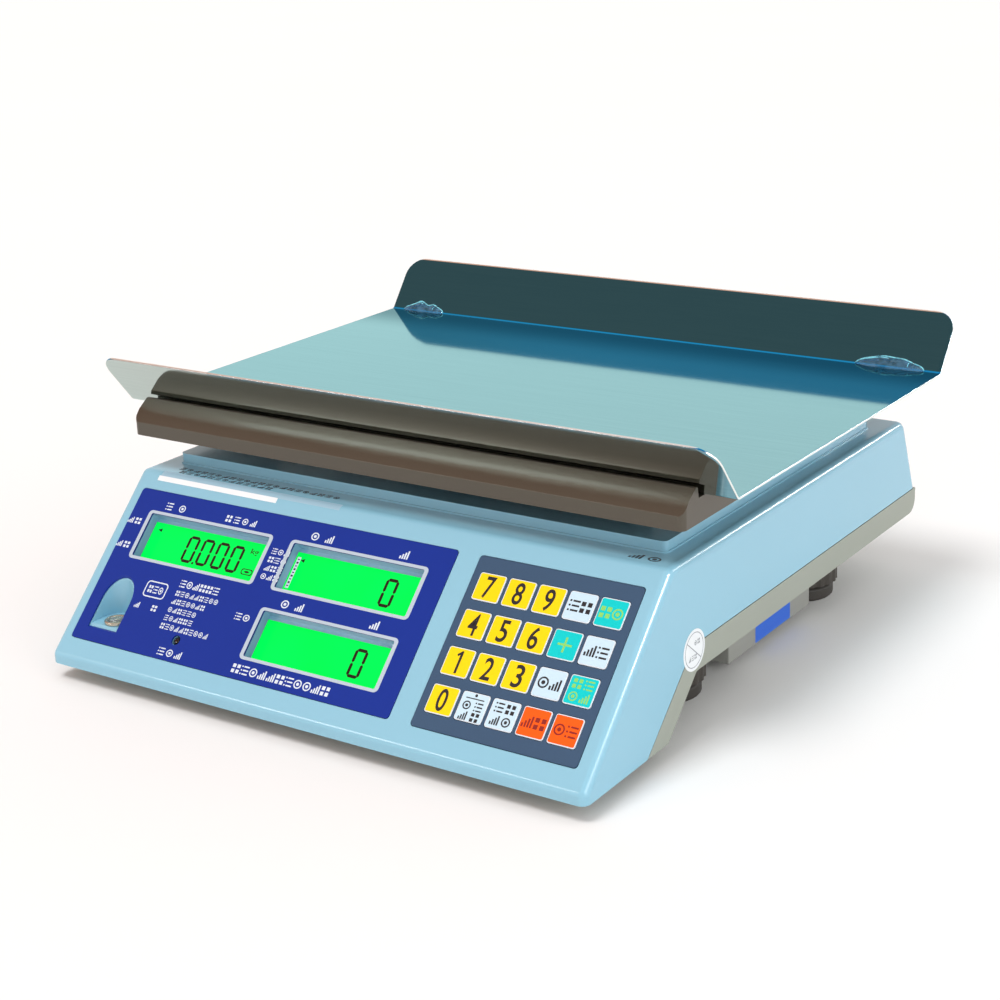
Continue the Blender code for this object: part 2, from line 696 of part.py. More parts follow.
def make_load_cell():
    low, high = CELL_Z
    half = CELL_LENGTH / 2
    middle = (low + high) / 2
    cell = box("load_cell", (-half, PLATFORM_Y - CELL_WIDTH / 2, low),
               (half, PLATFORM_Y + CELL_WIDTH / 2, high), ALUMINIUM)
    slot_x, slot_z = CELL_SLOT_HALF
    slot = rectangle((0, middle), (2 * slot_x, 2 * slot_z), slot_z - 0.1, 5)
    window = plate("cell_window", [slot], -CELL_WIDTH, CELL_WIDTH)
    window.rotation_euler.x = math.radians(90)
    window.location.y = PLATFORM_Y * MM
    cut(cell, window)
    box("load_cell_block", (-half, PLATFORM_Y - CELL_WIDTH / 2, FLOOR_Z + WALL + GAP),
        (-half + CELL_BLOCK_LENGTH, PLATFORM_Y + CELL_WIDTH / 2, low - GAP), ALUMINIUM,
        bevel=0.6, segments=1)


# ------------------------------------------------------------------ panel pieces

def make_overlays():
    low = OVERLAY_TOP - OVERLAY_THICK
    loops = [panel_rectangle(DISPLAY_U, OVERLAY_V, OVERLAY_CORNER)]
    loops += [window_outline(name) for name in WINDOW_CENTRES]
    loops.append(circle(on_panel(*LED_UV), LED_RADIUS + GAP, 24))
    overlay = plate("display_overlay", loops, low, OVERLAY_TOP, DEEP_BLUE, PANEL)
    cut(overlay, plate("overlay_pocket", [pocket_outline(0.4)], LEVEL_FLOOR_Z - 1.2, 75))
    loops = [panel_rectangle(KEYPAD_U, OVERLAY_V, OVERLAY_CORNER)]
    size = (KEY_SIZE[0] + 2 * GAP, KEY_SIZE[1] + 2 * GAP)
    loops += [rectangle(key_centre(i), size, KEY_CORNER + GAP, 2) for i in range(len(KEY_NAMES))]
    plate("keypad_overlay", loops, low, OVERLAY_TOP, SLATE, PANEL)
    inner = [panel_rectangle((KEYPAD_U[0] + 1, KEYPAD_U[1] - 1),
                             (OVERLAY_V[0] + 1, OVERLAY_V[1] - 1), 2.0)]
    plate("keypad_switch_sheet", inner, *SWITCH_SHEET, BLACK, PANEL)


def make_keys():
    for i, (name, material) in enumerate(zip(KEY_NAMES, KEY_COLOURS)):
        key = plate("key_" + name, [rectangle((0, 0), KEY_SIZE, KEY_CORNER, 2)],
                    KEY_TOP - KEY_THICK, KEY_TOP, material, PANEL)
        key.location = Vector((*key_centre(i), 0)) * MM


def make_displays():
    for name in WINDOW_CENTRES:
        plate("lcd_" + name, [window_outline(name, WELL_WALL, 0.0)], -WELL_DEPTH - GAP - LCD_THICK,
              -WELL_DEPTH - GAP, LCD_GREEN, PANEL)
    board_top = -WELL_DEPTH - 2 * GAP - LCD_THICK
    left, right = DISPLAY_U[0] + 4, DISPLAY_U[1] - 2
    top, bottom = OVERLAY_V[0] + 2, OVERLAY_V[1] - 6
    pocket_right, pocket_top = LEVEL_X + 32, 60.0
    outline = [on_panel(u, v) for u, v in ((left, top), (left, pocket_top), (pocket_right, pocket_top),
               (pocket_right, bottom), (right, bottom), (right, top))]
    plate("display_board", [outline], board_top - BOARD_THICK, board_top, BOARD_GREEN, PANEL)
    u, v = on_panel(*LED_UV)
    led = turned("charge_led", [(0, 0), (1.3, -0.3), (2.1, -1.1), (LED_RADIUS, -2.4),
                                (LED_RADIUS, -LED_LENGTH), (0, -LED_LENGTH)], LED_LENS, 20)
    led.parent = PANEL
    led.location = Vector((u, v, -0.1)) * MM


def make_level():
    profile = [(0, VIAL_HEIGHT), (VIAL_RADIUS - 1.0, VIAL_HEIGHT), (VIAL_RADIUS, VIAL_HEIGHT - 1.0),
               (VIAL_RADIUS, 0), (0, 0)]
    vial = turned("level_vial", profile, VIAL, 24)
    shift_x, shift_y = VIAL_OFFSET
    vial.location = Vector((LEVEL_X + shift_x, LEVEL_Y + shift_y, LEVEL_FLOOR_Z + GAP)) * MM


def make_main_board():
    (x0, y0), (x1, y1) = MAIN_BOARD
    low = FLOOR_Z + WALL + 4.0
    box("main_board", (x0, y0, low), (x1, y1, low + BOARD_THICK), BOARD_GREEN)


# ------------------------------------------------------------------ feet, screws, rear fittings

def foot_wheel_outline():
    """A round knob with shallow grip ribs."""
    points = []
    for i in range(WHEEL_RIBS * 4):
        angle = 2 * math.pi * i / (WHEEL_RIBS * 4)
        radius = WHEEL_RADIUS - (0.9 if i % 4 in (0, 3) else 0.0)
        points.append((radius * math.cos(angle), radius * math.sin(angle)))
    return points


def make_feet():
    low, high = WHEEL_Z
    for side, side_name in ((-1, "left"), (1, "right")):
        for end, end_name in ((-1, "front"), (1, "rear")):
            spot = Vector((side * FOOT_X, PLATFORM_Y + end * FOOT_DY, 0)) * MM
            pad = turned(f"foot_pad_{end_name}_{side_name}",
                         [(0, PAD_TOP), (PAD_RADIUS - 3.0, PAD_TOP), (PAD_RADIUS, PAD_TOP - 2.4),
                          (PAD_RADIUS, 1.0), (PAD_RADIUS - 1.0, 0), (0, 0)], RUBBER, 28)
            pad.location = spot
            wheel = plate(f"foot_wheel_{end_name}_{side_name}", [foot_wheel_outline()],
                          low, high, BLACK)
            wheel.location = spot
            stud = cylinder(f"stud_{end_name}_{side_name}", STUD_RADIUS, high - 1, STUD_TOP,
                            (0, 0), sides=20)
            stud.location += spot
            join(wheel, stud)


def make_screws():
    number = 1
    for side in (-1, 1):
        for y in SCREW_YS:
            head = FLOOR_Z - GAP
            screw = turned(f"case_screw_{number}",
                           [(0, head + 26), (SCREW_SHAFT, head + 25), (SCREW_SHAFT, head),
                            (SCREW_HEAD, head), (SCREW_HEAD, head - 1.4), (SCREW_HEAD - 1.2, head - 2.4),
                            (0, head - 2.4)], STEEL, 16)
            screw.location = Vector((side * SCREW_X, y, 0)) * MM
            number += 1


def make_rear_fittings():
    hole = rectangle((SWITCH_X, 0), SWITCH_HOLE)
    bezel = plate("switch_bezel", [rectangle((SWITCH_X, 0), SWITCH_SIZE, 1.2), hole],
                  GAP, BEZEL_TOP, BLACK, REAR)
    w, h = SWITCH_SIZE
    body = plate("switch_body", [rectangle((SWITCH_X, 0), (w - 2.0 - 2 * GAP, h - 2.0 - 2 * GAP)), hole],
                 -12, 1.0, parent=REAR)
    join(bezel, body)
    profile = [(-7.0, -3.0), (7.0, -3.0), (7.3, 3.0), (0.0, 2.1), (-7.3, 3.0)]
    half = SWITCH_HOLE[0] / 2 - GAP
    rocker = side_prism("switch_rocker", profile, half, BLACK)
    rocker.parent = REAR
    rocker.location = Vector((SWITCH_X, 0, 0)) * MM
    rocker.rotation_euler.x = ROCKER_TILT
    bore, barrel, flange = JACK_RADII
    jack = turned("dc_jack", [(bore, 1.2), (flange, 1.2), (flange, GAP), (barrel, GAP),
                              (barrel, -9.0), (bore, -9.0), (bore, 1.2)], BLACK, 24)
    jack.parent = REAR
    jack.location = Vector((JACK_X, 0, 0)) * MM


make_upper_housing()
make_lower_housing()
make_battery()
make_pan()
make_support()
make_spider()
make_load_cell()
make_overlays()
make_keys()
make_displays()
make_level()
make_main_board()
make_feet()
make_screws()
make_rear_fittings()
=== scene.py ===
"""Looks of the retail price scale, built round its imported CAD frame."""
import json
import math

import bmesh
import bpy
from mathutils import Matrix, Quaternion, Vector, noise
from mathutils.bvhtree import BVHTree

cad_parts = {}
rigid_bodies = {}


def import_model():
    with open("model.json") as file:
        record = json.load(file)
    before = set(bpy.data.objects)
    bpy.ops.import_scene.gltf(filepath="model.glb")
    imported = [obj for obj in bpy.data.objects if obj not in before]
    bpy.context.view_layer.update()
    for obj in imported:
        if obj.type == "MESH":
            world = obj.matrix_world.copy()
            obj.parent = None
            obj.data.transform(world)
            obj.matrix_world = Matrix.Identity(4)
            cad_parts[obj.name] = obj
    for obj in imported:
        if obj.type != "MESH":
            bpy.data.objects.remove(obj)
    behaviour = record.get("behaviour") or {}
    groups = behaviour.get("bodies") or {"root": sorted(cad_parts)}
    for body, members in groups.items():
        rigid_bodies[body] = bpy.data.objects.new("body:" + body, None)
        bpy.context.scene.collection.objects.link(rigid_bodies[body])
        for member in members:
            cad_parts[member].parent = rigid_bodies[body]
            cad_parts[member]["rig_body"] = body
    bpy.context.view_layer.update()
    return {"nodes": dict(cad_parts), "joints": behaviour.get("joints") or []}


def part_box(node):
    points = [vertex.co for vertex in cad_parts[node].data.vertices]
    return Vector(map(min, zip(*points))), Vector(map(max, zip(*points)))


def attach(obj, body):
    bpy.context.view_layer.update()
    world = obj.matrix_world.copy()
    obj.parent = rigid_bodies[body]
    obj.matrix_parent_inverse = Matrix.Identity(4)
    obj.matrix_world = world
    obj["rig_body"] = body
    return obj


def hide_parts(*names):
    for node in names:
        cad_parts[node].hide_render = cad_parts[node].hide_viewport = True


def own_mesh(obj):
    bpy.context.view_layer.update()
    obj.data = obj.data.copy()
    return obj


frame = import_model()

MM = 0.001
NODES = frame["nodes"]
WINDOWS = ("weight", "unit_price", "total")
PAINT = 0.06 * MM  # how far printed ink stands proud of its film
PLATEAU_STEP = 6.0 * MM  # height of the plateau over the strip in front of it
REAR_OUT = Vector((0, 0.927, 0.375))  # square to the leaning rear wall
REAR_ACROSS = Vector((-1, 0, 0))  # along it
CLOUD_SCALE = 14.0  # a surface's mottling, in waves a metre
CREASE_SCALE = 300.0  # a loose film's wrinkles, in waves a metre
BRUSH_SCALE = (6.0, 900.0, 900.0)  # the satin's fine lines run along the pan
BEND_SHADE_FROM, BEND_SHADE_TO = 50 * MM, 6 * MM  # the pan's flat is painted darker, as shade, over this reach before the rear bend
SHARP = math.radians(32)  # edges sharper than this are rounded
WELD = 0.002 * MM  # vertices closer than this are one
SAME_PLANE = math.radians(0.4)  # faces meeting flatter than this are one
EDGE_SHEEN_REACH = 0.5 * MM  # how far from an edge the lightening shows: rubbed wear and painted edge highlight


# ---- shader helpers

def feed(tree, node, links):
    """Give a node's inputs values or other nodes' outputs."""
    for key, value in links.items():
        if isinstance(value, bpy.types.NodeSocket):
            tree.links.new(value, node.inputs[key])
        else:
            node.inputs[key].default_value = value


def add_node(tree, kind, links=None, **settings):
    """A new shader node with its settings and what feeds it."""
    made = tree.nodes.new("ShaderNode" + kind)
    for key, value in settings.items():
        setattr(made, key, value)
    feed(tree, made, links or {})
    return made


def shade(colour, factor):
    """A colour made darker or lighter."""
    return tuple(min(1.0, c * factor) for c in colour[:3]) + (1.0,)


def srgb(code):
    """Linear RGBA from an sRGB hex code."""
    parts = [int(code[i:i + 2], 16) / 255 for i in (1, 3, 5)]
    return tuple(c / 12.92 if c <= 0.04045 else ((c + 0.055) / 1.055) ** 2.4 for c in parts) + (1.0,)


def mix(tree, factor, first, second):
    """The colour between two others, each a value or an output."""
    return add_node(tree, "Mix", {0: factor, 6: first, 7: second}, data_type="RGBA").outputs[2]


def spread(tree, value, low, high, start=0.0, end=1.0, step="LINEAR"):
    """A value's span from start to end stretched to run from low to high."""
    made = add_node(tree, "MapRange", {"Value": value, "From Min": start, "From Max": end,
                                       "To Min": low, "To Max": high}, interpolation_type=step)
    return made.outputs["Result"]


def noise_field(tree, place, scale, detail):
    """Cloudy values between 0 and 1."""
    return add_node(tree, "TexNoise", {"Vector": place, "Scale": scale, "Detail": detail}).outputs["Fac"]


def dot_product(tree, first, second):
    """How nearly two directions agree."""
    made = add_node(tree, "VectorMath", {0: first, 1: second}, operation="DOT_PRODUCT")
    return made.outputs["Value"]


def new_material(name):
    """A material, its tree, its shader and the object's own coordinates."""
    material = bpy.data.materials.new(name)
    material.use_nodes = True
    tree = material.node_tree
    return material, tree, tree.nodes["Principled BSDF"], add_node(tree, "TexCoord").outputs["Object"]


def surface(name, code, roughness, metallic=0.0, grain=0.3, bump=0.4, mottle=0.05,
            wear_and_edge_sheen=0.0, coat=0.0, stretch=(1, 1, 1), uneven=0.06, sheen_grain=0.0, specular=0.5):
    """A moulded, painted or metal surface with grain, mottling, uneven gloss and edges painted lighter,
    partly as rubbed wear and partly as painted highlight.

    grain is the size of the surface texture in millimetres and bump its depth in hundredths.
    """
    material, tree, shader, place = new_material(name)
    colour = srgb(code)
    if stretch != (1, 1, 1):
        place = add_node(tree, "Mapping", {"Vector": place, "Scale": stretch}).outputs["Vector"]
    cloud = noise_field(tree, place, CLOUD_SCALE, 5.0)
    fine = noise_field(tree, place, 1.0 / (grain * MM), 3.0)
    base = mix(tree, spread(tree, cloud, 0.0, 1.0, 0.1, 0.9),
               shade(colour, 1 - mottle), shade(colour, 1 + mottle))
    if sheen_grain:
        base = mix(tree, spread(tree, fine, 0.0, sheen_grain, 0.35, 0.75), base, shade(colour, 1.6))
    # Edges painted lighter: partly rubbed wear, partly painted edge highlight
    if wear_and_edge_sheen:
        rounded = add_node(tree, "Bevel", {"Radius": EDGE_SHEEN_REACH}, samples=4).outputs["Normal"]
        flat = add_node(tree, "NewGeometry").outputs["Normal"]
        along = dot_product(tree, rounded, flat)
        base = mix(tree, spread(tree, along, wear_and_edge_sheen * 0.5, 0.0, 0.80, 0.98), base, shade(colour, 1.5))
    gloss = spread(tree, cloud, roughness - uneven / 2, roughness + uneven / 2, 0.1, 0.9)
    relief = add_node(tree, "Bump", {"Height": fine, "Distance": bump * 0.01 * MM})
    feed(tree, shader, {
        "Base Color": base, "Roughness": gloss, "Normal": relief.outputs["Normal"],
        "Metallic": metallic, "Coat Weight": coat, "Coat Roughness": 0.08,
        "Specular IOR Level": specular})
    return material


def zone(tree, value, start, end):
    """0 below the start and 1 above the end of a value, with a soft step between."""
    return spread(tree, value, 0.0, 1.0, start, end, "SMOOTHSTEP")


def stainless_sheet(bend, rim):
    """Satin stainless: pale film on the flat, painted darker and bluer on the flanges as shade, painted
    bright blue on the bend as sheen, bare outside and on cut edges.

    bend is the Y of the rear bend, before which the flat is painted darker as shade, and rim the height of
    the edges.
    """
    material, tree, shader, place = new_material("stainless_sheet")
    lines = add_node(tree, "Mapping", {"Vector": place, "Scale": BRUSH_SCALE}).outputs["Vector"]
    brush = noise_field(tree, lines, 3.0, 6.0)
    ripple = noise_field(tree, place, 9.0, 3.0)
    spot = add_node(tree, "SeparateXYZ", {"Vector": place}).outputs
    outward = add_node(tree, "NewGeometry").outputs["Normal"]
    facing_way = add_node(tree, "SeparateXYZ", {"Vector": outward}).outputs
    streak = spread(tree, brush, 0.0, 1.0, 0.25, 0.75)
    flat = mix(tree, streak, srgb("#97B3B8"), srgb("#A2BEC3"))
    # Painted shade: the flat darkens towards the rear bend
    bend_shade = mix(tree, streak, srgb("#34515F"), srgb("#395867"))
    flat = mix(tree, zone(tree, spot["Y"], bend - BEND_SHADE_FROM, bend - BEND_SHADE_TO), flat, bend_shade)
    # Painted shade and sheen: the film is darker and bluer on the flanges and bright blue on the bend,
    # chosen by which way the sheet faces
    flange = mix(tree, streak, srgb("#37769A"), srgb("#3D7DA1"))
    bend_sheen = mix(tree, streak, srgb("#1A86BC"), srgb("#2090C6"))
    film = mix(tree, zone(tree, facing_way["Z"], 0.63, 0.70), flange, bend_sheen)
    film = mix(tree, zone(tree, facing_way["Z"], 0.95, 0.998), film, flat)
    bare = mix(tree, streak, srgb("#BDBCB7"), srgb("#C9C8C3"))
    side = add_node(tree, "Math", {0: facing_way["X"]}, operation="ABSOLUTE").outputs["Value"]
    ends, top = zone(tree, side, 0.5, 0.7), zone(tree, spot["Z"], rim, rim + 0.2 * MM)
    cut_edge = add_node(tree, "Math", {0: ends, 1: top}, operation="MAXIMUM").outputs["Value"]
    colour = mix(tree, zone(tree, facing_way["Z"], -0.05, 0.05), bare, film)
    gloss = spread(tree, brush, 0.05, 0.08, 0.25, 0.75)
    rough = add_node(tree, "Math", {0: gloss, 1: spread(tree, cut_edge, 0.0, 0.25)}, operation="ADD")
    fine = add_node(tree, "Bump", {"Height": brush, "Distance": 0.002 * MM, "Strength": 0.6})
    waves = add_node(tree, "Bump", {"Height": ripple, "Distance": 0.12 * MM, "Strength": 0.3,
                                    "Normal": fine.outputs["Normal"]})
    feed(tree, shader, {
        "Base Color": mix(tree, cut_edge, colour, srgb("#F0F0EE")),
        "Roughness": rough.outputs["Value"], "Normal": waves.outputs["Normal"],
        "Metallic": 1.0, "Specular Tint": (0.7, 1.0, 1.0, 1.0)})
    return material


def display_glow():
    """Green backlit glass, slightly uneven in tone."""
    material, tree, shader, place = new_material("display_glow")
    cloud = spread(tree, noise_field(tree, place, 25.0, 2.0), 0.0, 1.0, 0.3, 0.7)
    feed(tree, shader, {
        "Base Color": srgb("#00582C"), "Roughness": 0.18, "Specular IOR Level": 0.05,
        "Emission Color": mix(tree, cloud, srgb("#00F84A"), srgb("#00FF54")),
        "Emission Strength": 0.97})
    return material


def clear_film(name, code, alpha):
    """Thin loose film: see-through, glossy and finely wrinkled."""
    material, tree, shader, place = new_material(name)
    crease = noise_field(tree, place, CREASE_SCALE, 3.0)
    relief = add_node(tree, "Bump", {"Height": crease, "Distance": 0.35 * MM})
    feed(tree, shader, {
        "Base Color": mix(tree, crease, srgb(code), shade(srgb(code), 1.5)),
        "Alpha": spread(tree, crease, alpha * 0.4, alpha * 1.6, 0.35, 0.65),
        "Normal": relief.outputs["Normal"], "Roughness": 0.07, "Coat Weight": 1.0})
    return material


def tinted_glass(name, code, roughness=0.02):
    """Clear moulded plastic or glass with a faint haze."""
    material, tree, shader, place = new_material(name)
    haze = noise_field(tree, place, 90.0, 2.0)
    feed(tree, shader, {
        "Base Color": mix(tree, haze, srgb(code), shade(srgb(code), 1.15)),
        "Roughness": spread(tree, haze, roughness, roughness + 0.03),
        "Transmission Weight": 0.9, "IOR": 1.45})
    return material


def board_finish():
    """Solder resist with paler copper tracks under it."""
    material, tree, shader, place = new_material("printed_board")
    tracks = add_node(tree, "TexVoronoi", {"Vector": place, "Scale": 260.0},
                      distance="MANHATTAN", feature="F1")
    lines = spread(tree, tracks.outputs["Distance"], 0.0, 1.0, 0.28, 0.34)
    feed(tree, shader, {
        "Base Color": mix(tree, lines, srgb("#0F5A30"), srgb("#1E8248")),
        "Roughness": spread(tree, noise_field(tree, place, 30.0, 4.0), 0.28, 0.42)})
    return material


# ---- mesh helpers

def into_scene(name, data):
    """A new object in the scene."""
    made = bpy.data.objects.new(name, data)
    bpy.context.scene.collection.objects.link(made)
    return made


def link_piece(name, mesh, finish, body, replaced=()):
    """Put a mesh in the scene with its finish, on the body it moves with."""
    piece = into_scene(name, mesh)
    mesh.materials.clear()
    mesh.materials.append(finish)
    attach(piece, body)
    if replaced:
        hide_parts(*replaced)
    return piece


def soften(piece, width, segments=2):
    """Round the sharp edges; flats stay flat under smooth shading."""
    piece.data.shade_smooth()
    bevel = piece.modifiers.new("edges", "BEVEL")
    bevel.width = width
    bevel.segments = segments
    bevel.limit_method = "ANGLE"
    bevel.angle_limit = SHARP
    piece.modifiers.new("normals", "WEIGHTED_NORMAL").keep_sharp = True
    return piece


def clean_mesh(node):
    """The CAD node's mesh, welded, with its flat faces in one piece each."""
    shape = bmesh.new()
    shape.from_mesh(NODES[node].data)
    bmesh.ops.remove_doubles(shape, verts=shape.verts[:], dist=WELD)
    bmesh.ops.dissolve_limit(shape, angle_limit=SAME_PLANE, verts=shape.verts[:],
                             edges=shape.edges[:], use_dissolve_boundaries=False)
    points = [v.co.copy() for v in shape.verts]
    shape.verts.index_update()
    faces = [[v.index for v in face.verts] for face in shape.faces]
    shape.free()
    mesh = bpy.data.meshes.new(node + "_finished")
    mesh.from_pydata(points, [], faces)
    mesh.validate()
    return mesh


def body_of(node):
    """The name of the body a CAD node moves with."""
    return NODES[node]["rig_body"]


def skin_of(node):
    """A CAD node's surface, for rays to meet."""
    mesh = NODES[node].data
    return BVHTree.FromPolygons([v.co for v in mesh.vertices], [p.vertices for p in mesh.polygons])


def refined(node, finish, width=0.3 * MM, segments=2):
    """A finished copy of a CAD node with rounded edges, shown in its place."""
    piece = link_piece(node + "_finished", clean_mesh(node), finish, body_of(node), [node])
    return soften(piece, width, segments)


def add_line(curve, places):
    """A straight-sided line through places."""
    spline = curve.splines.new("POLY")
    spline.points.add(len(places) - 1)
    for point, place in zip(spline.points, places):
        point.co = (*place, 1.0)
    return spline


def plate_mesh(name, loops, low, high):
    """A flat outline, with any further loops as holes, between two heights along local Z."""
    curve = bpy.data.curves.new(name, "CURVE")
    curve.dimensions = "2D"
    curve.fill_mode = "BOTH"
    curve.extrude = (high - low) / 2
    for loop in loops:
        add_line(curve, [(x, y, 0.0) for x, y in loop]).use_cyclic_u = True
    return settled(name, curve, (low + high) / 2)


def as_mesh(name, shape):
    """A new mesh from an edited one, which is used up."""
    mesh = bpy.data.meshes.new(name)
    shape.to_mesh(mesh)
    shape.free()
    return mesh


def settled(name, curve, height):
    """Turn a curve or text into one welded mesh at a height."""
    guide = into_scene(name + "_guide", curve)
    bpy.context.view_layer.update()
    mesh = bpy.data.meshes.new_from_object(guide.evaluated_get(bpy.context.evaluated_depsgraph_get()))
    bpy.data.objects.remove(guide, do_unlink=True)
    shape = bmesh.new()
    shape.from_mesh(mesh)
    bmesh.ops.remove_doubles(shape, verts=shape.verts, dist=1e-6)
    bmesh.ops.recalc_face_normals(shape, faces=shape.faces)
    bmesh.ops.translate(shape, verts=shape.verts, vec=(0, 0, height))
    shape.to_mesh(mesh)
    shape.free()
    mesh.name = name
    return mesh


def glyph(name, text, size, weight):
    """A character fitted to a box, its middle at the origin and its back at height 0."""
    curve = bpy.data.curves.new(name, "FONT")
    curve.body = text
    curve.offset = weight
    curve.extrude = 0.5
    curve.resolution_u = 6
    mesh = settled(name, curve, 0.5)
    low, high = ([most(v.co[k] for v in mesh.vertices) for k in range(3)] for most in (min, max))
    for v in mesh.vertices:
        for k in range(3):
            share = (v.co[k] - low[k]) / (high[k] - low[k])
            v.co[k] = size[k] * (share - (0.5 if k < 2 else 0.0))
    return mesh


def joined(name, meshes):
    """Several meshes, each with the offset it moves by, as one."""
    shape = bmesh.new()
    for mesh, offset in meshes:
        mesh.transform(Matrix.Translation(offset))
        shape.from_mesh(mesh)
    return as_mesh(name, shape)


def arc(centre, radius, start, end, steps):
    """Points along an arc between two angles in degrees."""
    turn = (math.radians(start + (end - start) * i / steps) for i in range(steps + 1))
    return [(centre[0] + radius * math.cos(a), centre[1] + radius * math.sin(a)) for a in turn]


def ring(centre, radius, sides=32):
    """A circle's outline."""
    return arc(centre, radius, 0, 360 - 360 / sides, sides - 1)


def rounded(centre, size, corner, steps=5):
    """A rectangle's outline with round corners."""
    x, y = size[0] / 2 - corner, size[1] / 2 - corner
    outline = []
    for k, (sx, sy) in enumerate(((1, 1), (-1, 1), (-1, -1), (1, -1))):
        outline += arc((centre[0] + sx * x, centre[1] + sy * y), corner, 90 * k, 90 * k + 90, steps)
    return outline


def turned_mesh(name, profile, centre, sides=48):
    """A closed (radius, height) profile turned about an upright axis."""
    shape = bmesh.new()
    rows = []
    for k in range(sides):
        angle = 2 * math.pi * k / sides
        x, y = math.cos(angle), math.sin(angle)
        rows.append([shape.verts.new((centre[0] + r * x, centre[1] + r * y, z)) for r, z in profile])
    for k in range(sides):
        here, there = rows[k], rows[(k + 1) % sides]
        for i in range(len(profile) - 1):
            shape.faces.new((here[i], there[i], there[i + 1], here[i + 1]))
    bmesh.ops.remove_doubles(shape, verts=shape.verts, dist=1e-7)
    bmesh.ops.recalc_face_normals(shape, faces=shape.faces)
    return as_mesh(name, shape)


def smooth_sharp(piece, angle=35):
    """Smooth shading with edges kept sharp above an angle."""
    piece.data.shade_smooth()
    piece.data.set_sharp_from_angle(angle=math.radians(angle))
    return piece


# ---- the sloping panel's frame

PRESS = Vector(next(j["axis"] for j in frame["joints"] if j["name"] == "key_7_press")).normalized()
UPHILL = (-PRESS).cross(Vector((1, 0, 0)))
PANEL = Matrix((Vector((1, 0, 0)), UPHILL, -PRESS)).transposed().to_4x4()
FROM_PANEL = PANEL.inverted()


def panel_box(node):
    """Lowest and highest corner of a CAD node across, up and out of the sloping panel."""
    places = [FROM_PANEL @ v.co for v in NODES[node].data.vertices]
    return [Vector([most(p[k] for p in places) for k in range(3)]) for most in (min, max)]


def middle_and_size(low, high):
    """The flat middle and size of a box."""
    return ((low.x + high.x) / 2, (low.y + high.y) / 2), (high.x - low.x, high.y - low.y)


FILM_TOP = panel_box("display_overlay")[1].z


def printed(name, meshes, finish, body="housing"):
    """Marks laid on the panel, from meshes and the panel places they move to."""
    mesh = joined(name, meshes)
    mesh.transform(PANEL)
    return link_piece(name, mesh, finish, body)


def mark(loops, thick=PAINT):
    """A flat mark, sunk slightly into what it is printed on."""
    return plate_mesh("mark", loops, -0.03 * MM, thick)


# ---- finishes

HOUSING_BLUE = surface("housing_blue", "#8DC3D9", 0.24, grain=1.1, mottle=0.01, wear_and_edge_sheen=0.25, coat=0.2)
BASE_GREY = surface("base_grey", "#9DA398", 0.48, grain=0.7, bump=2.0, mottle=0.02, wear_and_edge_sheen=0.15)
BOX_GREY = surface("box_grey", "#A1A29C", 0.52, grain=0.6, bump=2.0, mottle=0.02, wear_and_edge_sheen=0.15)
DEEP_BLUE = surface(
    "display_film_blue", "#0D3190", 0.30, grain=0.35, bump=0.5, mottle=0.04, sheen_grain=0.05,
    specular=0.25)
SLATE = surface(
    "keypad_film_slate", "#3A5571", 0.34, grain=0.45, bump=0.8, mottle=0.05, sheen_grain=0.08,
    specular=0.3)
PRINT_WHITE = surface("print_white", "#DCE6F0", 0.45, mottle=0.04)
FRAME_WHITE = surface("window_frame_white", "#B9C8D6", 0.35)
INK_DARK = surface("ink_dark", "#1D2026", 0.40, mottle=0.15)
INK_SOFT = surface("ink_soft", "#7C838C", 0.40, mottle=0.10)
INK_LIME = surface("ink_lime", "#8CD46A", 0.42, mottle=0.08)
INK_RED = surface("ink_red", "#8E1F12", 0.42, mottle=0.12)
KEY_COLOURS = {"yellow": "#FFD80F", "pale": "#C9E4F4", "teal": "#00CDCE", "orange": "#FF5F14"}
KEY_FINISH = {tone: surface("key_" + tone + "_print", code, 0.36, grain=0.35, bump=0.6, mottle=0.03,
                                      specular=0.25) for tone, code in KEY_COLOURS.items()}
GLOW = display_glow()
SEGMENT_DARK = surface("segment_dark", "#05120A", 0.25, bump=0.2, mottle=0.2)
SUPPORT_BROWN = surface(
    "support_brown", "#534E44", 0.32, metallic=0.4, grain=0.5, bump=0.5, mottle=0.03, wear_and_edge_sheen=0.3,
    coat=0.1, uneven=0.03, sheen_grain=0.08)
CAST = surface("cast_alloy", "#A9ABAD", 0.5, metallic=1.0, grain=0.9, bump=4.0, mottle=0.06)
MILLED = surface(
    "milled_alloy", "#D2D4D6", 0.3, metallic=1.0, grain=0.4, bump=0.6, mottle=0.03,
    stretch=(0.06, 1, 1))
ZINC = surface("zinc_steel", "#C4C4BF", 0.32, metallic=1.0, grain=0.4, bump=0.8, mottle=0.08)
BLACK = surface("black_moulded", "#2B2926", 0.42, grain=0.5, bump=2.5, mottle=0.10, wear_and_edge_sheen=0.5)
RUBBER = surface("black_rubber", "#3A3631", 0.66, grain=0.35, bump=2.0, mottle=0.12)
FOOT_KNOB = surface("foot_knob", "#423D37", 0.45, grain=0.5, bump=2.0, mottle=0.10, wear_and_edge_sheen=0.5)
PAPER = surface("label_paper", "#EEF3F6", 0.5, grain=0.2, bump=0.5, mottle=0.02, specular=0.15)
BLUE_LABEL = surface("blue_label", "#1E6CE8", 0.4, grain=0.25, mottle=0.04)
LENS_DARK = surface("lens_dark", "#16080A", 0.12, bump=0.1, mottle=0.2)
BOARD = board_finish()
VIAL_GLASS = tinted_glass("vial_glass", "#F4F8F2")
VIAL_LIQUID = surface("vial_liquid", "#8C9560", 0.12, grain=0.5, bump=0.1, mottle=0.10, coat=1.0)
BUBBLE = surface("vial_bubble", "#DDE4C6", 0.08, grain=0.5, bump=0.1, mottle=0.04)
LOOSE_FILM = clear_film("loose_film", "#5E93B8", 0.15)
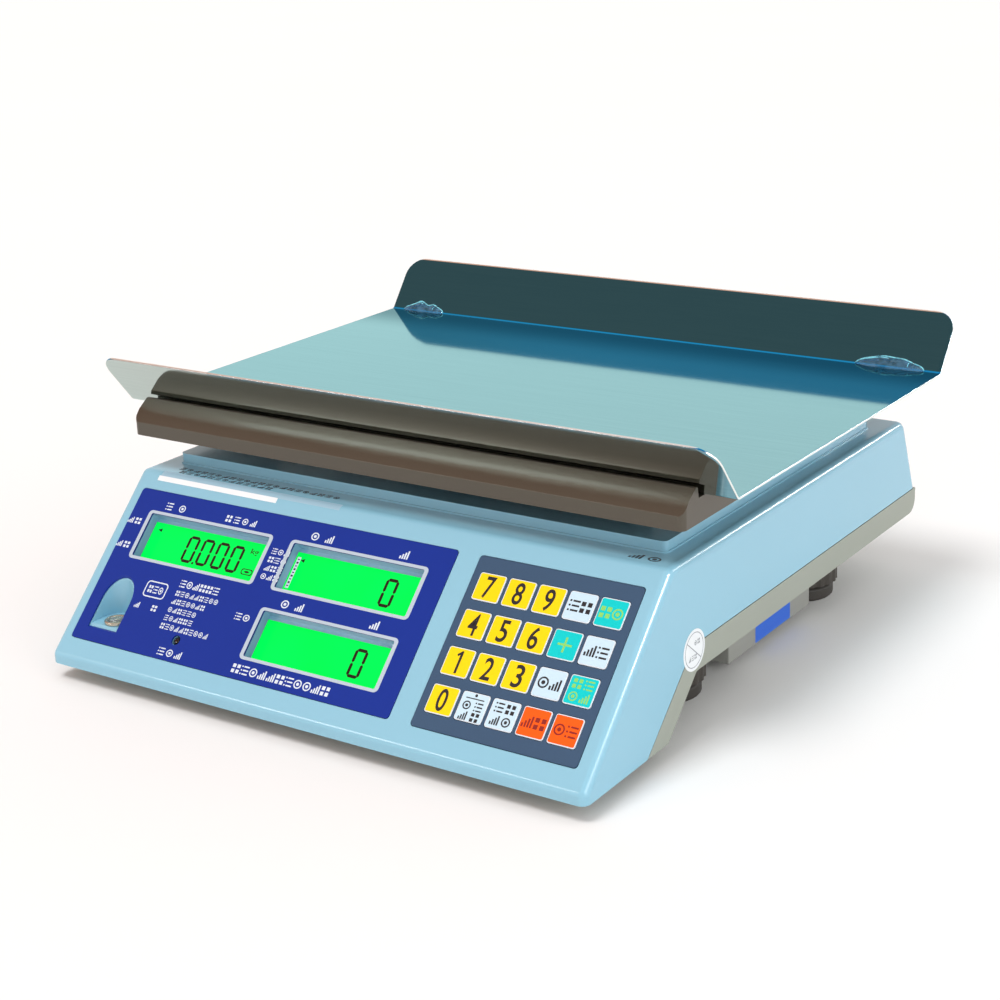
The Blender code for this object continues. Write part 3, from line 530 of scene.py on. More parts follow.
# Painted highlight: bright cyan for the threads along the blisters' folds
FOLD_HIGHLIGHT = clear_film("film_fold_highlight", "#7FD4F6", 0.85)
LABEL_FILM = surface("label_film", "#9CC0D3", 0.35, grain=0.2, mottle=0.03)
RING_METAL = surface("level_ring", "#B9B2A2", 0.25, metallic=0.8, grain=0.4, mottle=0.08)
VIAL_DARK = surface("vial_seat", "#4C4A38", 0.22, grain=0.4, bump=0.2, mottle=0.15)


# ---- housing, base and inner parts

SOCKET_DEPTH = 7.0 * MM


def make_shells():
    """The housing's outer shells and what it holds."""
    refined("upper_housing", HOUSING_BLUE, 0.5 * MM, 3)
    refined("lower_housing", BASE_GREY, 0.4 * MM)
    refined("battery_cover", BOX_GREY, 0.8 * MM, 3)
    refined("battery", BLACK, 0.5 * MM)
    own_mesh(refined("load_cell", MILLED))
    refined("load_cell_block", MILLED)
    refined("spider", CAST, 0.8 * MM)
    for node in ("display_board", "main_board"):
        refined(node, BOARD, 0.1 * MM)
    for k in range(1, 5):
        refined(f"bumper_{k}", RUBBER, 0.6 * MM)
        refined(f"case_screw_{k}", ZINC, 0.15 * MM)
    refined("keypad_switch_sheet", BLACK, 0.1 * MM)


def keep_folds(piece, least=math.radians(4), most=math.radians(30)):
    """Keep shallow folds crisp under smooth shading."""
    shape = bmesh.new()
    shape.from_mesh(piece.data)
    for edge in shape.edges:
        if len(edge.link_faces) == 2 and least < edge.calc_face_angle() < most:
            edge.smooth = False
    shape.to_mesh(piece.data)
    shape.free()
    return piece


def make_platform():
    """The brown tray and the pan on it."""
    keep_folds(refined("platter_support", SUPPORT_BROWN, 0.5 * MM, 3))
    stainless = stainless_sheet(bend_line(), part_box("pan")[1].z - 0.8 * MM)
    refined("pan", stainless, 0.25 * MM)


def make_feet():
    """Pads and ribbed wheels."""
    for node in NODES:
        if node.startswith("foot_pad"):
            refined(node, RUBBER, 0.4 * MM)
        elif node.startswith("foot_wheel"):
            refined(node, FOOT_KNOB, 0.4 * MM)


def make_rear_fittings():
    """The power switch and the supply socket."""
    for node, width in (("switch_bezel", 0.25), ("switch_rocker", 0.2), ("dc_jack", 0.2)):
        refined(node, BLACK, width * MM)
    make_rocker_marks()
    make_jack_pin()


def make_rocker_marks():
    """A bar on one half of the rocker and a ring on the other."""
    low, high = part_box("switch_rocker")
    skin = skin_of("switch_rocker")
    shapes = ([bar(-0.3 * MM, 0.3 * MM, -1.4 * MM, 1.4 * MM)],
              [ring((0, 0), 1.4 * MM), ring((0, 0), 0.95 * MM)])
    for k, (loops, drop) in enumerate(zip(shapes, (0.28, 0.72))):
        start = Vector(((low.x + high.x) / 2, high.y, high.z + (low.z - high.z) * drop))
        place, out, _, _ = skin.ray_cast(start + REAR_OUT * 20 * MM, -REAR_OUT)
        sign = plate_mesh("rocker_mark", loops, -0.02 * MM, 0.08 * MM)
        facing(sign, (REAR_ACROSS, out.cross(REAR_ACROSS), out), place)
        link_piece(f"rocker_mark_{k + 1}", sign, PRINT_WHITE, body_of("switch_rocker"))


def make_jack_pin():
    """The contact pin standing in the middle of the supply socket."""
    low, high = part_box("dc_jack")
    middle = (low + high) / 2
    mouth = max(v.co.dot(REAR_OUT) for v in NODES["dc_jack"].data.vertices)
    base = middle + REAR_OUT * (mouth - SOCKET_DEPTH - middle.dot(REAR_OUT))
    profile = [(0, 0), (1.0 * MM, 0), (1.0 * MM, 4.9 * MM), (0.6 * MM, 5.4 * MM), (0, 5.5 * MM)]
    pin = turned_mesh("jack_pin", profile, (0, 0), 24)
    facing(pin, (REAR_ACROSS, REAR_OUT.cross(REAR_ACROSS), REAR_OUT), base)
    smooth_sharp(link_piece("jack_pin", pin, ZINC, "housing"))


# ---- panel prints and displays

WELL_MARGIN = 2.0 * MM  # the display glass runs on this far under the film
FRAME_SIDES = (2.3 * MM, 1.75 * MM)  # width of the printed frame beside and over a window
GASKET = 2.2 * MM  # how much of the gasket shows under a window's upper edge
STRIP_SIZE = (2.3 * MM, 18.5 * MM)  # the marked strip beside the unit price
STRIP_PITCH = 1.95 * MM
DIGIT_SIZE, DIGIT_STROKE, DIGIT_PITCH = (8.2 * MM, 16.2 * MM), 1.75 * MM, 10.8 * MM
DIGIT_GAP = 0.05 * MM  # between two segments
# How many digits a display shows, and how far right of its middle they end
DIGITS = {"weight": (4, 25.1 * MM), "unit_price": (1, 26.6 * MM), "total": (1, 26.1 * MM)}


def window_box(name):
    """Centre and size of a display window, from the glass under it."""
    centre, size = middle_and_size(*panel_box("lcd_" + name))
    return centre, (size[0] - 2 * WELL_MARGIN, size[1] - 2 * WELL_MARGIN)


def make_films():
    """The two printed films, frames round the windows and a line round the keypad."""
    refined("display_overlay", DEEP_BLUE, 0.12 * MM)
    refined("keypad_overlay", SLATE, 0.12 * MM)
    frames = []
    for name in WINDOWS:
        centre, size = window_box(name)
        outer = rounded(centre, (size[0] + 2 * FRAME_SIDES[0], size[1] + 2 * FRAME_SIDES[1]), 2.6 * MM)
        inner = rounded(centre, size, 1.0 * MM)
        frames.append((mark([outer, inner], 0.15 * MM), (0, 0, FILM_TOP)))
    soften(printed("window_frames", frames, FRAME_WHITE), 0.05 * MM)
    low, high = panel_box("keypad_overlay")
    centre, size = middle_and_size(low, high)
    edge = [rounded(centre, (size[0] - inset, size[1] - inset), 2.0 * MM - inset / 2)
            for inset in (0.5 * MM, 1.0 * MM)]
    printed("keypad_border", [(mark(edge), (0, 0, high.z))], SLATE)


def make_liners():
    """A gasket along each display's upper edge and a marked strip beside the unit price."""
    gaskets, strips, notches = [], [], []
    for name in WINDOWS:
        (x, y), size = window_box(name)
        top = panel_box("lcd_" + name)[1].z
        strip = rounded((x, y + size[1] / 2), (size[0] + 3.0 * MM, 2 * GASKET), 0.3 * MM, 2)
        gaskets.append((plate_mesh("gasket", [strip], 0.02 * MM, 0.30 * MM), (0, 0, top)))
        if name == "unit_price":
            place = (x - size[0] / 2 + 2.0 * MM, y - 0.8 * MM)
            strips.append((mark([rounded(place, STRIP_SIZE, 0.2 * MM, 2)], 0.05 * MM), (0, 0, top)))
            marks = []
            for k in range(-4, 5):
                spot = (place[0] + 0.1 * MM, place[1] + k * STRIP_PITCH)
                marks.append(rounded(spot, (1.3 * MM, (0.6 + 0.4 * (k % 2)) * MM), 0.1 * MM, 2))
            notches.append((mark(marks, 0.03 * MM), (0, 0, top + 0.05 * MM)))
    printed("display_gaskets", gaskets, HOUSING_BLUE)
    printed("unit_strip", strips, PRINT_WHITE)
    printed("unit_strip_marks", notches, INK_DARK)


def segment(first, second):
    """One pointed bar of a seven-segment digit, between two corners."""
    half = DIGIT_STROKE / 2
    along = Vector((second[0] - first[0], second[1] - first[1])).normalized()
    side = Vector((-along.y, along.x)) * half
    a, b = Vector(first) + along * DIGIT_GAP, Vector(second) - along * DIGIT_GAP
    points = [a, a + along * half + side, b - along * half + side, b,
              b - along * half - side, a + along * half - side]
    return [tuple(p) for p in points]


def zero_digit(left, bottom):
    """A seven-segment 0: every segment but the middle one."""
    half = DIGIT_STROKE / 2
    x0, x1 = left + half, left + DIGIT_SIZE[0] - half
    y0, y1, y2 = bottom + half, bottom + DIGIT_SIZE[1] / 2, bottom + DIGIT_SIZE[1] - half
    ends = (((x0, y2), (x1, y2)), ((x1, y1), (x1, y2)), ((x1, y0), (x1, y1)),
            ((x0, y0), (x1, y0)), ((x0, y0), (x0, y1)), ((x0, y1), (x0, y2)))
    return [segment(*pair) for pair in ends]


def make_displays():
    """Glowing glass with dark segments, and the lamp."""
    loops_at = []
    for name, (count, right) in DIGITS.items():
        glass = refined("lcd_" + name, GLOW, 0.2 * MM)
        glass.visible_diffuse = glass.visible_glossy = False
        (x, y), size = window_box(name)
        top = panel_box("lcd_" + name)[1].z
        bottom = y - DIGIT_SIZE[1] / 2 - 0.7 * MM
        loops = []
        for k in range(count):
            left = x + right - DIGIT_SIZE[0] - k * DIGIT_PITCH
            loops += zero_digit(left, bottom)
            if k == 3:
                spot = (left + DIGIT_SIZE[0] + 1.3 * MM, bottom + 0.6 * MM)
                loops.append(rounded(spot, (1.3 * MM, 1.3 * MM), 0.2 * MM, 2))
        if name != "total":
            tip = (x - size[0] / 2 + 3.2 * MM, y + size[1] / 2 - 6.5 * MM)
            loops.append([tip] + [(tip[0] + 2.8 * MM, tip[1] + rise) for rise in (-1.1 * MM, 1.1 * MM)])
        loops_at.append((mark(loops, 0.03 * MM), (0, 0, top)))
        if name == "weight":
            unit = glyph("unit", "kg", (5.4 * MM, 4.2 * MM, 0.03 * MM), 0.008)
            loops_at.append((unit, (x + 32.0 * MM, y + 5.4 * MM, top)))
            seal = [rounded((x + 32.5 * MM, y - 6.4 * MM), s, 1.3 * MM)
                    for s in ((7.8 * MM, 3.6 * MM), (6.8 * MM, 2.6 * MM), (3.6 * MM, 1.2 * MM))]
            loops_at.append((mark(seal, 0.03 * MM), (0, 0, top)))
    printed("display_segments", loops_at, SEGMENT_DARK)
    refined("charge_led", LENS_DARK, 0.1 * MM)


def bar(x0, x1, y0, y1):
    """A rectangle between two places across and two up."""
    return [(x0, y0), (x1, y0), (x1, y1), (x0, y1)]


def dot(radius):
    """A circle round the middle of the unit square."""
    return arc((0.5, 0.5), radius, 0, 345, 23)


# Plain pictograms that stand where printed words were: outlines in a unit square
ICONS = {
    "list": [bar(x0, x1, y, y + 0.16) for x0, x1 in ((0, 0.17), (0.3, 1)) for y in (0, 0.42, 0.84)],
    "tiles": [bar(x, x + 0.4, y, y + 0.4) for x in (0, 0.6) for y in (0, 0.6)],
    "steps": [bar(0.27 * k, 0.27 * k + 0.17, 0, 0.34 + 0.22 * k) for k in range(4)],
    "target": [dot(0.5), dot(0.36), dot(0.18)],
}
KINDS = ("list", "tiles", "steps", "target")


def icon(kind, centre, size):
    """A generic mark's loops, centred at a place."""
    return [[(centre[0] + (px - 0.5) * size[0], centre[1] + (py - 0.5) * size[1]) for px, py in loop]
            for loop in ICONS[kind]]


def row_of(kinds, left, v_centre, size, pitch):
    """A row of marks, its left end and height given."""
    loops = []
    for k, kind in enumerate(kinds):
        loops += icon(kind, (left + size[0] / 2 + k * pitch, v_centre), size)
    return loops


# Key marks: icons in rows, their size in millimetres and the ink they are printed in
PAIR = ((-3.4, 0.0), (3.4, 0.0))
FOUR = ((-3.2, 3.3), (3.2, 3.3), (-3.2, -3.3), (3.2, -3.3))
WORD_KEYS = {
    "quantity": ("pale", INK_DARK, PAIR, ("list", "tiles"), 5.9),
    "recall": ("pale", INK_DARK, PAIR, ("steps", "list"), 5.9),
    "change": ("pale", INK_DARK, PAIR, ("target", "steps"), 5.9),
    "accumulate": ("teal", INK_LIME, PAIR, ("tiles", "target"), 5.9),
    "memory_clear": ("teal", INK_LIME, FOUR, ("tiles", "list", "target", "steps"), 4.9),
    "point": ("pale", INK_DARK, ((-3.4, 0.6), (3.4, 0.6), (-3.4, -4.8), (3.4, -4.8)),
              ("target", "list", "steps", "tiles"), 4.5),
    "price_clear": ("pale", INK_DARK, FOUR, KINDS, 4.9),
    "zero": ("orange", INK_RED, PAIR, ("steps", "tiles"), 5.9),
    "tare": ("orange", INK_RED, PAIR, ("target", "list"), 5.9),
}
RIM = 0.55 * MM  # pale outline printed round each key
FACE = 0.10 * MM  # thickness of a key's coloured face
CHARACTER_SIZE = (5.5 * MM, 11.9 * MM, 0.09 * MM)
DIGIT_ONE = ((-0.1, -5.95), (1.3, -5.95), (1.3, 5.95), (0.4, 5.95), (-1.9, 3.9), (-1.3, 2.9), (-0.1, 3.8))
PLUS = ((-4, -0.55), (-0.55, -0.55), (-0.55, -4), (0.55, -4), (0.55, -0.55), (4, -0.55),
        (4, 0.55), (0.55, 0.55), (0.55, 4), (-0.55, 4), (-0.55, 0.55), (-4, 0.55))


def key_face(name, tone):
    """One key's pale cap and coloured face; returns its middle, its upper side and its body."""
    low, high = panel_box("key_" + name)
    body = body_of("key_" + name)
    centre, size = middle_and_size(low, high)
    refined("key_" + name, PRINT_WHITE, 0.25 * MM)
    face = mark([rounded(centre, (size[0] - 2 * RIM, size[1] - 2 * RIM), 0.9 * MM)], FACE)
    cap = printed(f"key_{name}_face", [(face, (0, 0, high.z))], KEY_FINISH[tone], body)
    soften(cap, 0.05 * MM)
    return centre, high.z + FACE, body


def make_keys():
    """Ten digit keys, nine with marks in place of words and one with a plus sign."""
    for digit in "0123456789":
        centre, top, body = key_face(digit, "yellow")
        if digit == "1":
            outline = [(x * MM, y * MM) for x, y in DIGIT_ONE]
            sign = plate_mesh("digit_1", [outline], 0.0, CHARACTER_SIZE[2])
        else:
            sign = glyph("digit_" + digit, digit, CHARACTER_SIZE, 0.012)
        printed(f"key_{digit}_mark", [(sign, (*centre, top - 0.03 * MM))], INK_DARK, body)
    for name, (tone, ink, places, kinds, side) in WORD_KEYS.items():
        centre, top, body = key_face(name, tone)
        loops = []
        for (x, y), kind in zip(places, kinds):
            loops += icon(kind, (centre[0] + x * MM, centre[1] + y * MM), (side * MM, side * MM))
        if name == "point":
            loops.append(ring((centre[0], centre[1] + 6.2 * MM), 0.75 * MM, 16))
            loops.append(rounded((centre[0], centre[1] + 4.4 * MM), (10.5 * MM, 0.5 * MM), 0.2 * MM, 2))
        printed(f"key_{name}_mark", [(mark(loops), (0, 0, top))], ink, body)
    centre, top, body = key_face("add", "teal")
    loops = [[(centre[0] + x * MM, centre[1] + y * MM) for x, y in PLUS]]
    printed("key_add_mark", [(mark(loops), (0, 0, top))], INK_LIME, body)


def words(count, left, middle, size, pitch, start=0):
    """A row of generic marks in changing order, sizes in millimetres."""
    kinds = [KINDS[(3 * k + k // 4 + start) % 4] for k in range(count)]
    return row_of(kinds, left, middle, (size[0] * MM, size[1] * MM), pitch * MM)


def make_legends():
    """Small white marks round the windows, in place of the printed words."""
    loops = []
    (x, y), size = window_box("weight")
    above, left = y + size[1] / 2 + 5.8 * MM, x - size[0] / 2
    loops += words(2, left + 7.6 * MM, above, (4.6, 4.4), 9.6)
    loops += words(4, left + 52.0 * MM, above, (3.9, 3.9), 5.9, 1)
    for dy in (7.0, -8.0):
        loops += words(2, left - 14.6 * MM, y + dy * MM, (4.0, 3.7), 5.4, 2)
    for k in range(4):
        loops += words(3, left + size[0] + 5.4 * MM, y + (6.2 - 5.0 * k) * MM, (3.4, 3.3), 4.3, k)
    for name in WINDOWS[1:]:
        (x, y), size = window_box(name)
        above, left = y + size[1] / 2 + 5.8 * MM, x - size[0] / 2
        loops += words(2, left + 9.0 * MM, above, (5.0, 4.6), 9.8, 3)
        loops += words(1, left + 68.0 * MM, above, (5.4, 4.8), 5, 2)
        if name == "total":
            loops += words(2, left - 16.4 * MM, y + 6.9 * MM, (4.3, 3.9), 5.6)
            below = y - size[1] / 2 - 7.4 * MM
            loops += words(11, left - 3.3 * MM, below, (5.0, 4.9), 5.95, 1)
    led, _ = middle_and_size(*panel_box("charge_led"))
    loops += words(3, led[0] - 8.4 * MM, led[1] - 7.9 * MM, (4.5, 4.2), 6.1)
    rows = ((6, 3.9, 4.2), (9, 2.6, 3.0), (7, 2.6, 3.0), (6, 2.6, 3.0), (6, 2.6, 3.0), (10, 2.6, 3.2))
    for k, (count, wide, tall) in enumerate(rows):
        height = led[1] + (31.4 - 4.9 * k) * MM - (1.0 * MM if k else 0)
        loops += words(count, led[0] - 14.5 * MM, height, (wide, tall), wide + 0.85, k)
    badge = (led[0] - 29.0 * MM, led[1] + 24.5 * MM)
    for wide, tall, corner in ((15.5, 9.6, 2.2), (14.1, 8.2, 1.6)):
        loops.append(rounded(badge, (wide * MM, tall * MM), corner * MM))
    loops += words(3, badge[0] - 5.3 * MM, badge[1], (3.0, 4.2), 3.8, 1)
    loops += words(2, badge[0] - 9.6 * MM, badge[1] - 10.4 * MM, (3.6, 3.4), 12.6, 2)
    printed("panel_legends", [(mark(loops), (0, 0, FILM_TOP))], PRINT_WHITE)


# ---- spirit level

def make_level():
    """A low metal ring round a domed lens, with liquid, a bubble and the centring circle."""
    low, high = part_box("level_vial")
    centre, size = middle_and_size(low, high)
    radius = size[0] / 2
    lip, seat = radius - 1.9 * MM, radius - 2.3 * MM

    def turned_piece(name, profile, finish, where=centre, angle=45):
        """A turned piece, its heights given as shares of the level's."""
        mesh = turned_mesh(name, [(r, low.z + (high.z - low.z) * share) for r, share in profile], where)
        return smooth_sharp(link_piece(name, mesh, finish, "housing"), angle)

    turned_piece(
        "level_ring", [(0, 0), (radius, 0), (radius, 0.62), (radius - 0.5 * MM, 0.95),
                       (lip + 0.4 * MM, 1.0), (lip, 0.8), (seat, 0.35), (0, 0.35)], RING_METAL)
    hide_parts("level_vial")
    turned_piece("level_seat", [(0, 0.36), (seat + 0.2 * MM, 0.36), (seat, 0.5), (0, 0.5)], VIAL_DARK)
    turned_piece(
        "level_liquid", [(0, 0.51), (seat - 0.8 * MM, 0.51), (seat - 1.0 * MM, 0.66), (0, 0.72)],
        VIAL_LIQUID)
    turned_piece(
        "level_circle", [(2.0 * MM, 0.73), (2.4 * MM, 0.73), (2.4 * MM, 0.76), (2.0 * MM, 0.76),
                         (2.0 * MM, 0.73)], INK_DARK)
    spot = (centre[0] + 0.7 * MM, centre[1] - 0.5 * MM)
    turned_piece(
        "level_bubble", [(0, 0.70), (1.3 * MM, 0.72), (1.5 * MM, 0.77), (1.2 * MM, 0.82), (0, 0.84)],
        BUBBLE, spot, 60)
    turned_piece(
        "level_lens", [(0, 0.86), (seat - 0.6 * MM, 0.80), (seat - 0.3 * MM, 0.84), (2.5 * MM, 0.98),
                       (0, 1.0)], VIAL_GLASS, centre, 50)


# ---- labels

LABEL = 0.10 * MM  # thickness of the labels on the right side
STRIP_STEPS = 16  # lengths a strip is bent in


def facing(mesh, axes, origin):
    """Turn a flat mesh so that its X, Y and Z lie along three directions from an origin."""
    turn = Matrix(axes).transposed().to_4x4()
    mesh.transform(Matrix.Translation(origin) @ turn)
    return mesh


def on_side(name, mesh, finish, place):
    """A flat mesh put upright on the right side at a place."""
    link_piece(name, facing(mesh, ((0, 1, 0), (0, 0, 1), (1, 0, 0)), place), finish, "housing")


def make_labels():
    """The labels on the right side, over the panel's edge and on the flat top."""
    seal_at = (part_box("upper_housing")[1].x, -87.6 * MM, 48.7 * MM)
    disc = [ring((0, 0), 10.9 * MM, 64)]
    on_side("side_seal", plate_mesh("side_seal", disc, 0.0, LABEL), PAPER, seal_at)
    rings = [ring((0, 0), 9.3 * MM, 64), ring((0, 0), 8.95 * MM, 64)]
    slash = [[(x * MM, z * MM) for x, z in ((-7.3, 5.5), (-7.0, 5.8), (6.9, -5.9), (6.6, -6.2))]]
    bars = (row_of(("target", "tiles"), 0.2 * MM, 3.4 * MM, (2.3 * MM, 2.6 * MM), 3.2 * MM)
            + row_of(("steps", "list", "tiles"), -5.6 * MM, -3.8 * MM, (2.1 * MM, 2.6 * MM), 2.9 * MM))
    plates = [(plate_mesh("seal_part", loops, 0.08 * MM, 0.13 * MM), (0, 0, 0))
              for loops in (rings, slash, bars)]
    on_side("side_seal_print", joined("side_seal_print", plates), INK_SOFT, seal_at)
    strip = [rounded((46.9 * MM, 10.2 * MM), (43.0 * MM, 9.4 * MM), 0.6 * MM)]
    on_side("battery_label", plate_mesh("battery_label", strip, 0.0, LABEL), BLUE_LABEL,
            (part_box("battery_cover")[1].x, 0, 0))
    laid_strip("front_label", (-158.0 * MM, -70.5 * MM), (50, 63), PAPER, 0.12 * MM)
    laid_strip("front_label_film", (-157.0 * MM, -28.0 * MM), (62, 80), LABEL_FILM, 0.06 * MM)
    make_top_print()


def make_top_print():
    """Rows of generic dark marks above the panel, in place of the printed words."""
    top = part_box("upper_housing")[1].z - PLATEAU_STEP
    loops = []
    for count, first, start, back in ((22, 0, -150, -99.0), (13, 1, -146, -103.6)):
        for k in range(count):
            place = ((start + 5.3 * k) * MM, back * MM)
            loops += icon(KINDS[(k * 3 + first) % 4], place, (3.6 * MM, 3.4 * MM))
    loops += row_of(("steps", "target"), 145.5 * MM, -100.2 * MM, (7.0 * MM, 5.6 * MM), 10.0 * MM)
    mesh = plate_mesh("top_print", loops, -0.02 * MM, 0.12 * MM)
    mesh.transform(Matrix.Translation((0, 0, top)))
    link_piece("top_print", mesh, INK_DARK, "housing")


def closed_sheet(name, inner, outer):
    """A closed sheet between two grids of points."""
    shape = bmesh.new()
    inner, outer = ([[shape.verts.new(place) for place in line] for line in grid]
                    for grid in (inner, outer))
    columns, rows = len(outer) - 1, len(outer[0]) - 1
    for i in range(columns):
        for j in range(rows):
            shape.faces.new((outer[i][j], outer[i + 1][j], outer[i + 1][j + 1], outer[i][j + 1]))
            shape.faces.new((inner[i][j], inner[i][j + 1], inner[i + 1][j + 1], inner[i + 1][j]))
    for i in range(columns):
        for j in (0, rows):
            shape.faces.new((inner[i][j], inner[i + 1][j], outer[i + 1][j], outer[i][j]))
    for j in range(rows):
        for i in (0, columns):
            shape.faces.new((inner[i][j], outer[i][j], outer[i][j + 1], inner[i][j + 1]))
    bmesh.ops.recalc_face_normals(shape, faces=shape.faces)
    return as_mesh(name, shape)


def laid_strip(name, across, angles, finish, thick):
    """A thin strip laid on the housing, bent over the panel's upper edge."""
    skin = skin_of("upper_housing")
    profile = []
    aim = Vector((0, -104.0 * MM, 84.0 * MM))  # inside the rounded edge
    for k in range(STRIP_STEPS + 1):
        angle = math.radians(angles[0] + (angles[1] - angles[0]) * k / STRIP_STEPS)
        outward = Vector((0, -math.cos(angle), math.sin(angle)))
        start = Vector((sum(across) / 2, 0, 0)) + aim + outward * 60 * MM
        hit, normal, _, _ = skin.ray_cast(start, -outward)
        profile.append((hit.y, hit.z, normal))
    inner, outer = ([[(x, y + n.y * lift, z + n.z * lift) for y, z, n in profile] for x in across]
                    for lift in (0.02 * MM, thick))
    smooth_sharp(link_piece(name, closed_sheet(name, inner, outer), finish, "housing"))


# ---- loose film on the pan

SHEET = 1.2 * MM  # the pan's thickness
BEND_REACH = 1.2 * MM  # from the end of the flat to the corner the bend rounds off
FOOT_REACH, BULGE = 4.0 * MM, 2.2 * MM  # how far a blister reaches over the flat and stands off
FILM_END = 0.3 * MM  # a blister's reach either way at its ends
RIPPLE = 0.6 * MM  # how far its wrinkles rise


def film_blister(name, start, end, height, seed):
    """Film lifted off the pan's rear bend in a low wrinkled bubble, its rim and creases traced by threads
    coloured bright as painted highlight.
    """
    flat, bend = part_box("pan")[0].z + SHEET, bend_line()
    rim = max((v.co for v in NODES["pan"].data.vertices if v.co.y > bend), key=lambda place: place.z)
    lean = Vector((0, rim.y - bend, rim.z - flat)).normalized()
    columns, rows = 36, 10
    grid = [[], []]
    for side, layer in enumerate(grid):
        for i in range(columns + 1):
            t = i / columns
            uneven = 0.85 + 0.5 * noise.noise(Vector((t * 4.3, seed, 0.0)))
            swell = math.sin(math.pi * t) ** 0.6 * uneven
            foot = Vector((start + (end - start) * t, bend - FOOT_REACH * swell - FILM_END, flat))
            tip = Vector((foot.x, bend, flat)) + lean * (height * swell + FILM_END)
            line = []
            for j in range(rows + 1):
                s = j / rows
                dome = math.sin(math.pi * s)
                ripple = noise.noise(Vector((t * 9.0, s * 3.0 + seed, 1.7))) * RIPPLE * dome
                lift = dome * BULGE * swell + ripple + (0.05 + 0.07 * side) * MM
                line.append(foot.lerp(tip, s) + Vector((0, -0.6, 0.8)) * lift)
            layer.append(line)
    inner, outer = grid
    link_piece(name, closed_sheet(name, inner, outer), LOOSE_FILM, "pan").data.shade_smooth()
    # The folds are real; the threads along them are coloured bright cyan as painted highlight
    lines = (([line[rows] for line in outer], 0.42), ([line[rows - 2] for line in outer[3:18]], 0.28),
             (outer[28][3:rows - 1], 0.2))
    folds = joined(name + "_folds", [(thread(line, radius * MM), (0, 0, 0)) for line, radius in lines])
    link_piece(name + "_folds", folds, FOLD_HIGHLIGHT, "pan").data.shade_smooth()


def thread(points, radius):
    """A thin round thread through points."""
    curve = bpy.data.curves.new("thread", "CURVE")
    curve.dimensions = "3D"
    curve.bevel_depth = radius
    curve.bevel_resolution = 1
    curve.use_fill_caps = True
    add_line(curve, points)
    return settled("thread", curve, 0.0)


def bend_line():
    """Y where the pan's flat and its rear flange would meet but for the bend."""
    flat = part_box("pan")[0].z + SHEET
    level = [v.co.y for v in NODES["pan"].data.vertices if abs(v.co.z - flat) < 0.02 * MM]
    return max(level) + BEND_REACH


def make_blisters():
    """One by each end of the rear bend."""
    film_blister("film_blister_left", -188.0 * MM, -156.0 * MM, 7.0 * MM, 2.0)
    film_blister("film_blister_right", 144.0 * MM, 187.0 * MM, 7.5 * MM, 7.0)


# ---- stage, light and camera

def make_floor():
    """A wide pale floor."""
    material, tree, shader, place = new_material("studio_floor")
    pale = mix(tree, noise_field(tree, place, 2.0, 2.0), (0.87, 0.865, 0.86, 1), (0.89, 0.885, 0.88, 1))
    feed(tree, shader, {"Base Color": pale, "Roughness": 0.9, "Specular IOR Level": 0.0})
    bpy.ops.mesh.primitive_plane_add(size=30.0, location=(0, 0, 0))
    floor = bpy.context.object
    floor.name = "floor"
    floor.data.materials.append(material)


def area_light(name, place, target, size, radiance, along=None):
    """A soft rectangular light of a given radiance, its width laid along a direction."""
    data = bpy.data.lights.new(name, "AREA")
    data.shape = "RECTANGLE"
    data.size, data.size_y = size
    data.energy = radiance * math.pi * size[0] * size[1]
    back = (Vector(place) - Vector(target)).normalized()
    wide = Vector(along or (0, 0, 1))
    wide = (wide - back * wide.dot(back)).normalized()
    light = into_scene(name, data)
    turn = Matrix((wide, back.cross(wide), back)).transposed().to_4x4()
    light.matrix_world = Matrix.Translation(place) @ turn
    return light


def edge_light(name, way, distance, size, radiance, along):
    """A small bright light seen only as the highlight on rounded edges and gloss."""
    target = Vector((0.0, 0.0, 0.1))
    light = area_light(name, target + Vector(way) * distance, target, size, radiance, along)
    light.visible_diffuse = False


def patch(tree, ray, direction, inner, outer):
    """1 inside a soft-edged cone round a direction, 0 outside it; angles in degrees."""
    agree = dot_product(tree, ray, tuple(Vector(direction).normalized()))
    return zone(tree, agree, math.cos(math.radians(outer)), math.cos(math.radians(inner)))


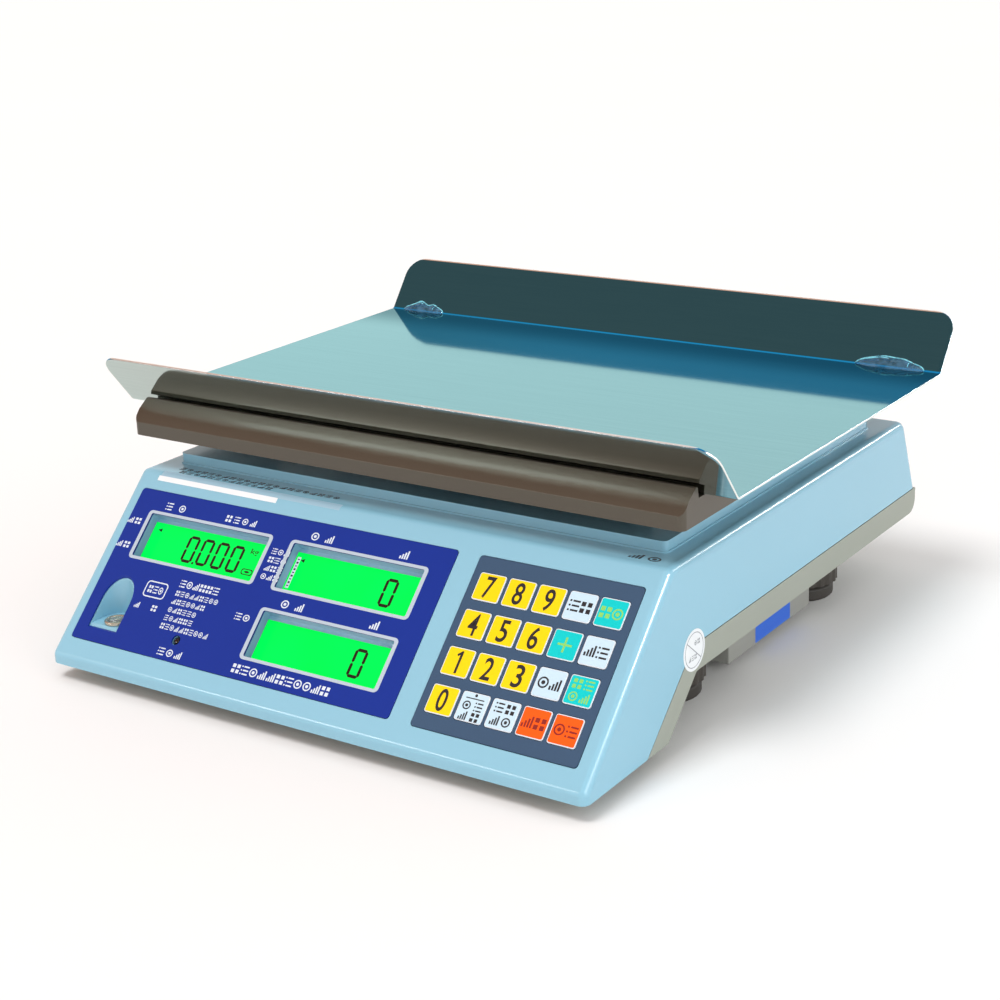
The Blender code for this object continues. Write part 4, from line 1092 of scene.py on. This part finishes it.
def make_world():
    """A pale room with two dark patches for the pan to mirror, hidden from direct sight."""
    world = bpy.data.worlds.new("studio")
    bpy.context.scene.world = world
    world.use_nodes = True
    tree = world.node_tree
    ray = add_node(tree, "TexCoord").outputs["Generated"]
    height = add_node(tree, "SeparateXYZ", {"Vector": ray}).outputs["Z"]
    base = mix(tree, spread(tree, height, 0.0, 1.0, 0.15, 0.85), (1.0, 1.0, 1.0, 1), (0.78, 0.78, 0.78, 1))
    shadowed = (0.66, 0.34, 0.22, 1)
    room = mix(tree, patch(tree, ray, (-0.46, -0.62, 0.635), 20, 31), base, shadowed)
    room = mix(tree, patch(tree, ray, (-0.86, -0.10, 0.50), 14, 31), room, shadowed)
    direct = add_node(tree, "LightPath").outputs["Is Camera Ray"]
    feed(tree, tree.nodes["Background"], {"Color": mix(tree, direct, room, base), "Strength": 1.0})


def make_camera():
    """A short telephoto view from the front right, a little above."""
    target = Vector((0.13687, -0.18266, 0.15017))
    azimuth, elevation, roll = (math.radians(a) for a in (34.222, 18.649, -2.1348))
    back = Vector((math.sin(azimuth) * math.cos(elevation), -math.cos(azimuth) * math.cos(elevation),
                   math.sin(elevation)))
    data = bpy.data.cameras.new("camera")
    data.sensor_width = 36.0
    data.lens = 69.286
    data.shift_x, data.shift_y = -0.01862, -0.00081
    camera = into_scene("camera", data)
    camera.rotation_mode = "QUATERNION"
    camera.location = target + back * 0.86203
    camera.rotation_quaternion = (-back).to_track_quat("-Z", "Y") @ Quaternion((0, 0, 1), roll)
    bpy.context.scene.camera = camera


def make_lights():
    """An overcast sky from the front left, and lights seen only as highlights."""
    sun = bpy.data.lights.new("sky_panel", "SUN")
    sun.energy = 1.35
    sun.angle = math.radians(24)
    panel = into_scene("sky_panel", sun)
    panel.rotation_euler = Vector((-0.13, -0.30, 0.945)).to_track_quat("Z", "Y").to_euler()
    panel.visible_glossy = False
    area_light("right_softbox", (1.7, -0.5, 0.6), (0.1, 0, 0.08), (1.0, 1.2), 1.2)
    edge_light("front_highlight", (-0.53, -0.75, 0.39), 2.2, (0.70, 0.15), 22.0, (1, 0, 0))
    edge_light("right_highlight", (0.80, -0.15, 0.58), 2.0, (0.50, 0.45), 45.0, (0, 0.7, 0.7))
    edge_light("ceiling_panel", (-0.46, 0.11, 0.88), 2.2, (1.15, 0.36), 0.35, (1, 0, 0))
    edge_light("rear_highlight", (0.42, 0.84, 0.35), 2.2, (0.35, 0.15), 45.0, (0, 1, 0))
    bpy.context.scene.view_settings.view_transform = "Standard"


for make in (make_shells, make_platform, make_feet, make_rear_fittings, make_films, make_displays,
             make_liners, make_keys, make_legends, make_level, make_labels, make_blisters,
             make_floor, make_world, make_lights, make_camera):
    make()
